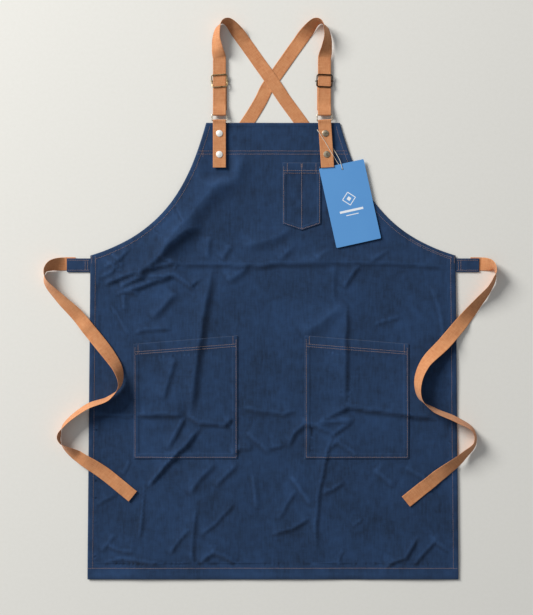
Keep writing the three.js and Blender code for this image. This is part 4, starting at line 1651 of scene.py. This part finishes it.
def make_bar(side, material):
    """The slider's bar: a rod with rounded ends that stands out past the frame."""
    low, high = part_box(f"{side}_slider_bar")
    centre = (low + high) / 2
    choose_none()
    bpy.ops.mesh.primitive_cylinder_add(
        vertices=28, radius=bar_radius * MM, depth=high.x - low.x, location=(0, 0, 0)
    )
    bar = bpy.context.object
    bar.name = f"{side}_adjuster_bar"
    bpy.ops.object.mode_set(mode="EDIT")
    bpy.ops.mesh.select_mode(type="FACE")
    mesh = bmesh.from_edit_mesh(bar.data)
    for face in mesh.faces:
        face.select = abs(face.normal.z) > 0.9
    bmesh.update_edit_mesh(bar.data)
    bpy.ops.mesh.bevel(offset=bar_radius * 0.7 * MM, segments=4, affect="EDGES")
    bpy.ops.object.mode_set(mode="OBJECT")
    bar.data.transform(Matrix.Rotation(math.radians(90), 4, "Y"))
    bar.data.transform(Matrix.Translation(centre))
    shade_smooth(bar, 40)
    finish_piece(bar, f"{side}_slider", material, "antique_brass", f"{side}_slider_bar")


def make_cap(side, place_name, material):
    """A snap's cap: a low dome with a rolled rim."""
    node = f"{side}_{place_name}_snap_cap"
    low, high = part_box(node)
    centre = (low + high) / 2
    flange = high.z - 1.6 * MM
    choose_none()
    bpy.ops.mesh.primitive_cylinder_add(
        vertices=56, radius=cap_radius * MM, depth=0.6 * MM, location=(0, 0, 0)
    )
    cap = bpy.context.object
    cap.name = f"{side}_{place_name}_cap"
    bpy.ops.object.mode_set(mode="EDIT")
    bpy.ops.mesh.select_mode(type="FACE")
    mesh = bmesh.from_edit_mesh(cap.data)
    for face in mesh.faces:
        face.select = face.normal.z > 0.9
    bmesh.update_edit_mesh(cap.data)
    for inward, up in ((0.5, 0.28), (0.5, 0.2), (0.45, -0.12), (0.5, 0.14), (1.1, 0.26), (1.2, 0.14),
                       (1.0, 0.06)):
        bpy.ops.mesh.inset(thickness=inward * MM)
        bpy.ops.transform.translate(value=(0, 0, up * MM))
    bpy.ops.mesh.select_all(action="SELECT")
    mesh = bmesh.from_edit_mesh(cap.data)
    for face in mesh.faces:
        face.select = face.normal.z < -0.9
    bmesh.update_edit_mesh(cap.data)
    bpy.ops.mesh.inset(thickness=(cap_radius - 1.6) * MM)
    bpy.ops.mesh.extrude_region_move(TRANSFORM_OT_translate={"value": (0, 0, low.z - flange)})
    bpy.ops.object.mode_set(mode="OBJECT")
    rim = cap.modifiers.new("Rolled rim", "BEVEL")
    rim.width = 0.22 * MM
    rim.segments = 3
    rim.limit_method = "ANGLE"
    rim.angle_limit = math.radians(50)
    apply_modifiers(cap)
    cap.data.transform(Matrix.Translation((centre.x, centre.y, flange + 0.3 * MM)))
    shade_smooth(cap, 60)
    finish_piece(cap, f"{side}_tab", material, "antique_brass", node)


def make_hardware(side, sign):
    x = strap_x[side]
    metal = {"left": BRASS_BRIGHT, "right": BRASS_DARK}[side]
    frame_low, frame_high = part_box(f"{side}_slider_frame")
    side_level = frame_low.z / MM + 1.1
    end_level = frame_high.z / MM - 1.1
    half_x = strap_width / 2 + 0.9 + 1.1
    wire_frame(
        f"{side}_adjuster_frame", half_x, slider_half_height, 3.4, 1.1, end_level - side_level,
        f"{side}_slider", metal, f"{side}_slider_frame", slider_turn[side],
        place(x, slider_height, side_level), 0,
    )
    make_bar(side, metal)
    wire_frame(
        f"{side}_wire_ring", strap_width / 2 + 0.9 + ring_wire / 2, ring_pitch / 2, 1.6,
        ring_wire / 2, 0, f"{side}_ring", PALE_WIRE, f"{side}_ring", tab_lean[side] / 2,
        place(x, ring_upper, ring_level), -ring_pitch / 2,
    )
    caps = {"left": NICKEL, "right": BRASS_ANTIQUE}[side]
    for place_name in ("upper", "lower"):
        make_cap(side, place_name, caps)
        for part in ("socket", "stud", "post"):
            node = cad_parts[f"{side}_{place_name}_snap_{part}"]
            node.data.materials.clear()
            node.data.materials.append(BRASS_ANTIQUE)


def make_snap_tab(side):
    """One strip of webbing folded round the ring's lower bar, its two layers sewn together."""
    x = strap_x[side]
    half = webbing / 2 + 0.02
    bar_y = ring_upper - ring_pitch
    points = [
        (-tab_length, -half),
        (-60, -half),
        (-30, -half),
        (-8, -half),
        (-4, -half - 0.5),
        *ring_turn(0, 0, loop_radius, -70, 70, 10),
        (-4, half + 0.5),
        (-8, half),
        (-30, half),
        (-60, half),
        (-tab_length, half),
    ]
    stations = rounded_stations(points, 0, 5)
    pivot = Vector((x, bar_y, ring_level))
    turn = Matrix.Rotation(math.radians(tab_lean[side]), 3, "Z")
    stations = [(pivot + turn @ p, turn @ along, turn @ across) for p, along, across in stations]
    tab = woven_strip(f"{side}_tape_tab", stations, strap_width)
    finish_piece(tab, f"{side}_tab", TAPE, "webbing", f"{side}_snap_tab")
    rows = Stitching(f"{side}_snap_tab_stitching")
    length = sum((b[0] - a[0]).length for a, b in zip(stations, stations[1:]))
    for offset in (-strap_width / 2 + 2.2, strap_width / 2 - 2.2):
        for first, last in ((3, tab_length - 8), (length - tab_length + 8, length - 3)):
            sewn_along(rows, stations, offset, first, last, 1)
    for back in (2.5, tab_length - 7):
        end_centre, along, across = stations[-1]
        normal = across.cross(along).normalized()
        middle = end_centre - along * back + normal * (webbing / 2 + 0.05)
        for i in range(6):
            a = middle + across * (strap_width * (i / 6 - 0.42))
            b = a + across * 3
            rows.stitch(place(*a), place(*b), normal, 0.5 * MM)
    rows.finish(f"{side}_tab", TAPE_THREAD)


for side, sign in SIDES:
    make_hardware(side, sign)
    make_snap_tab(side)
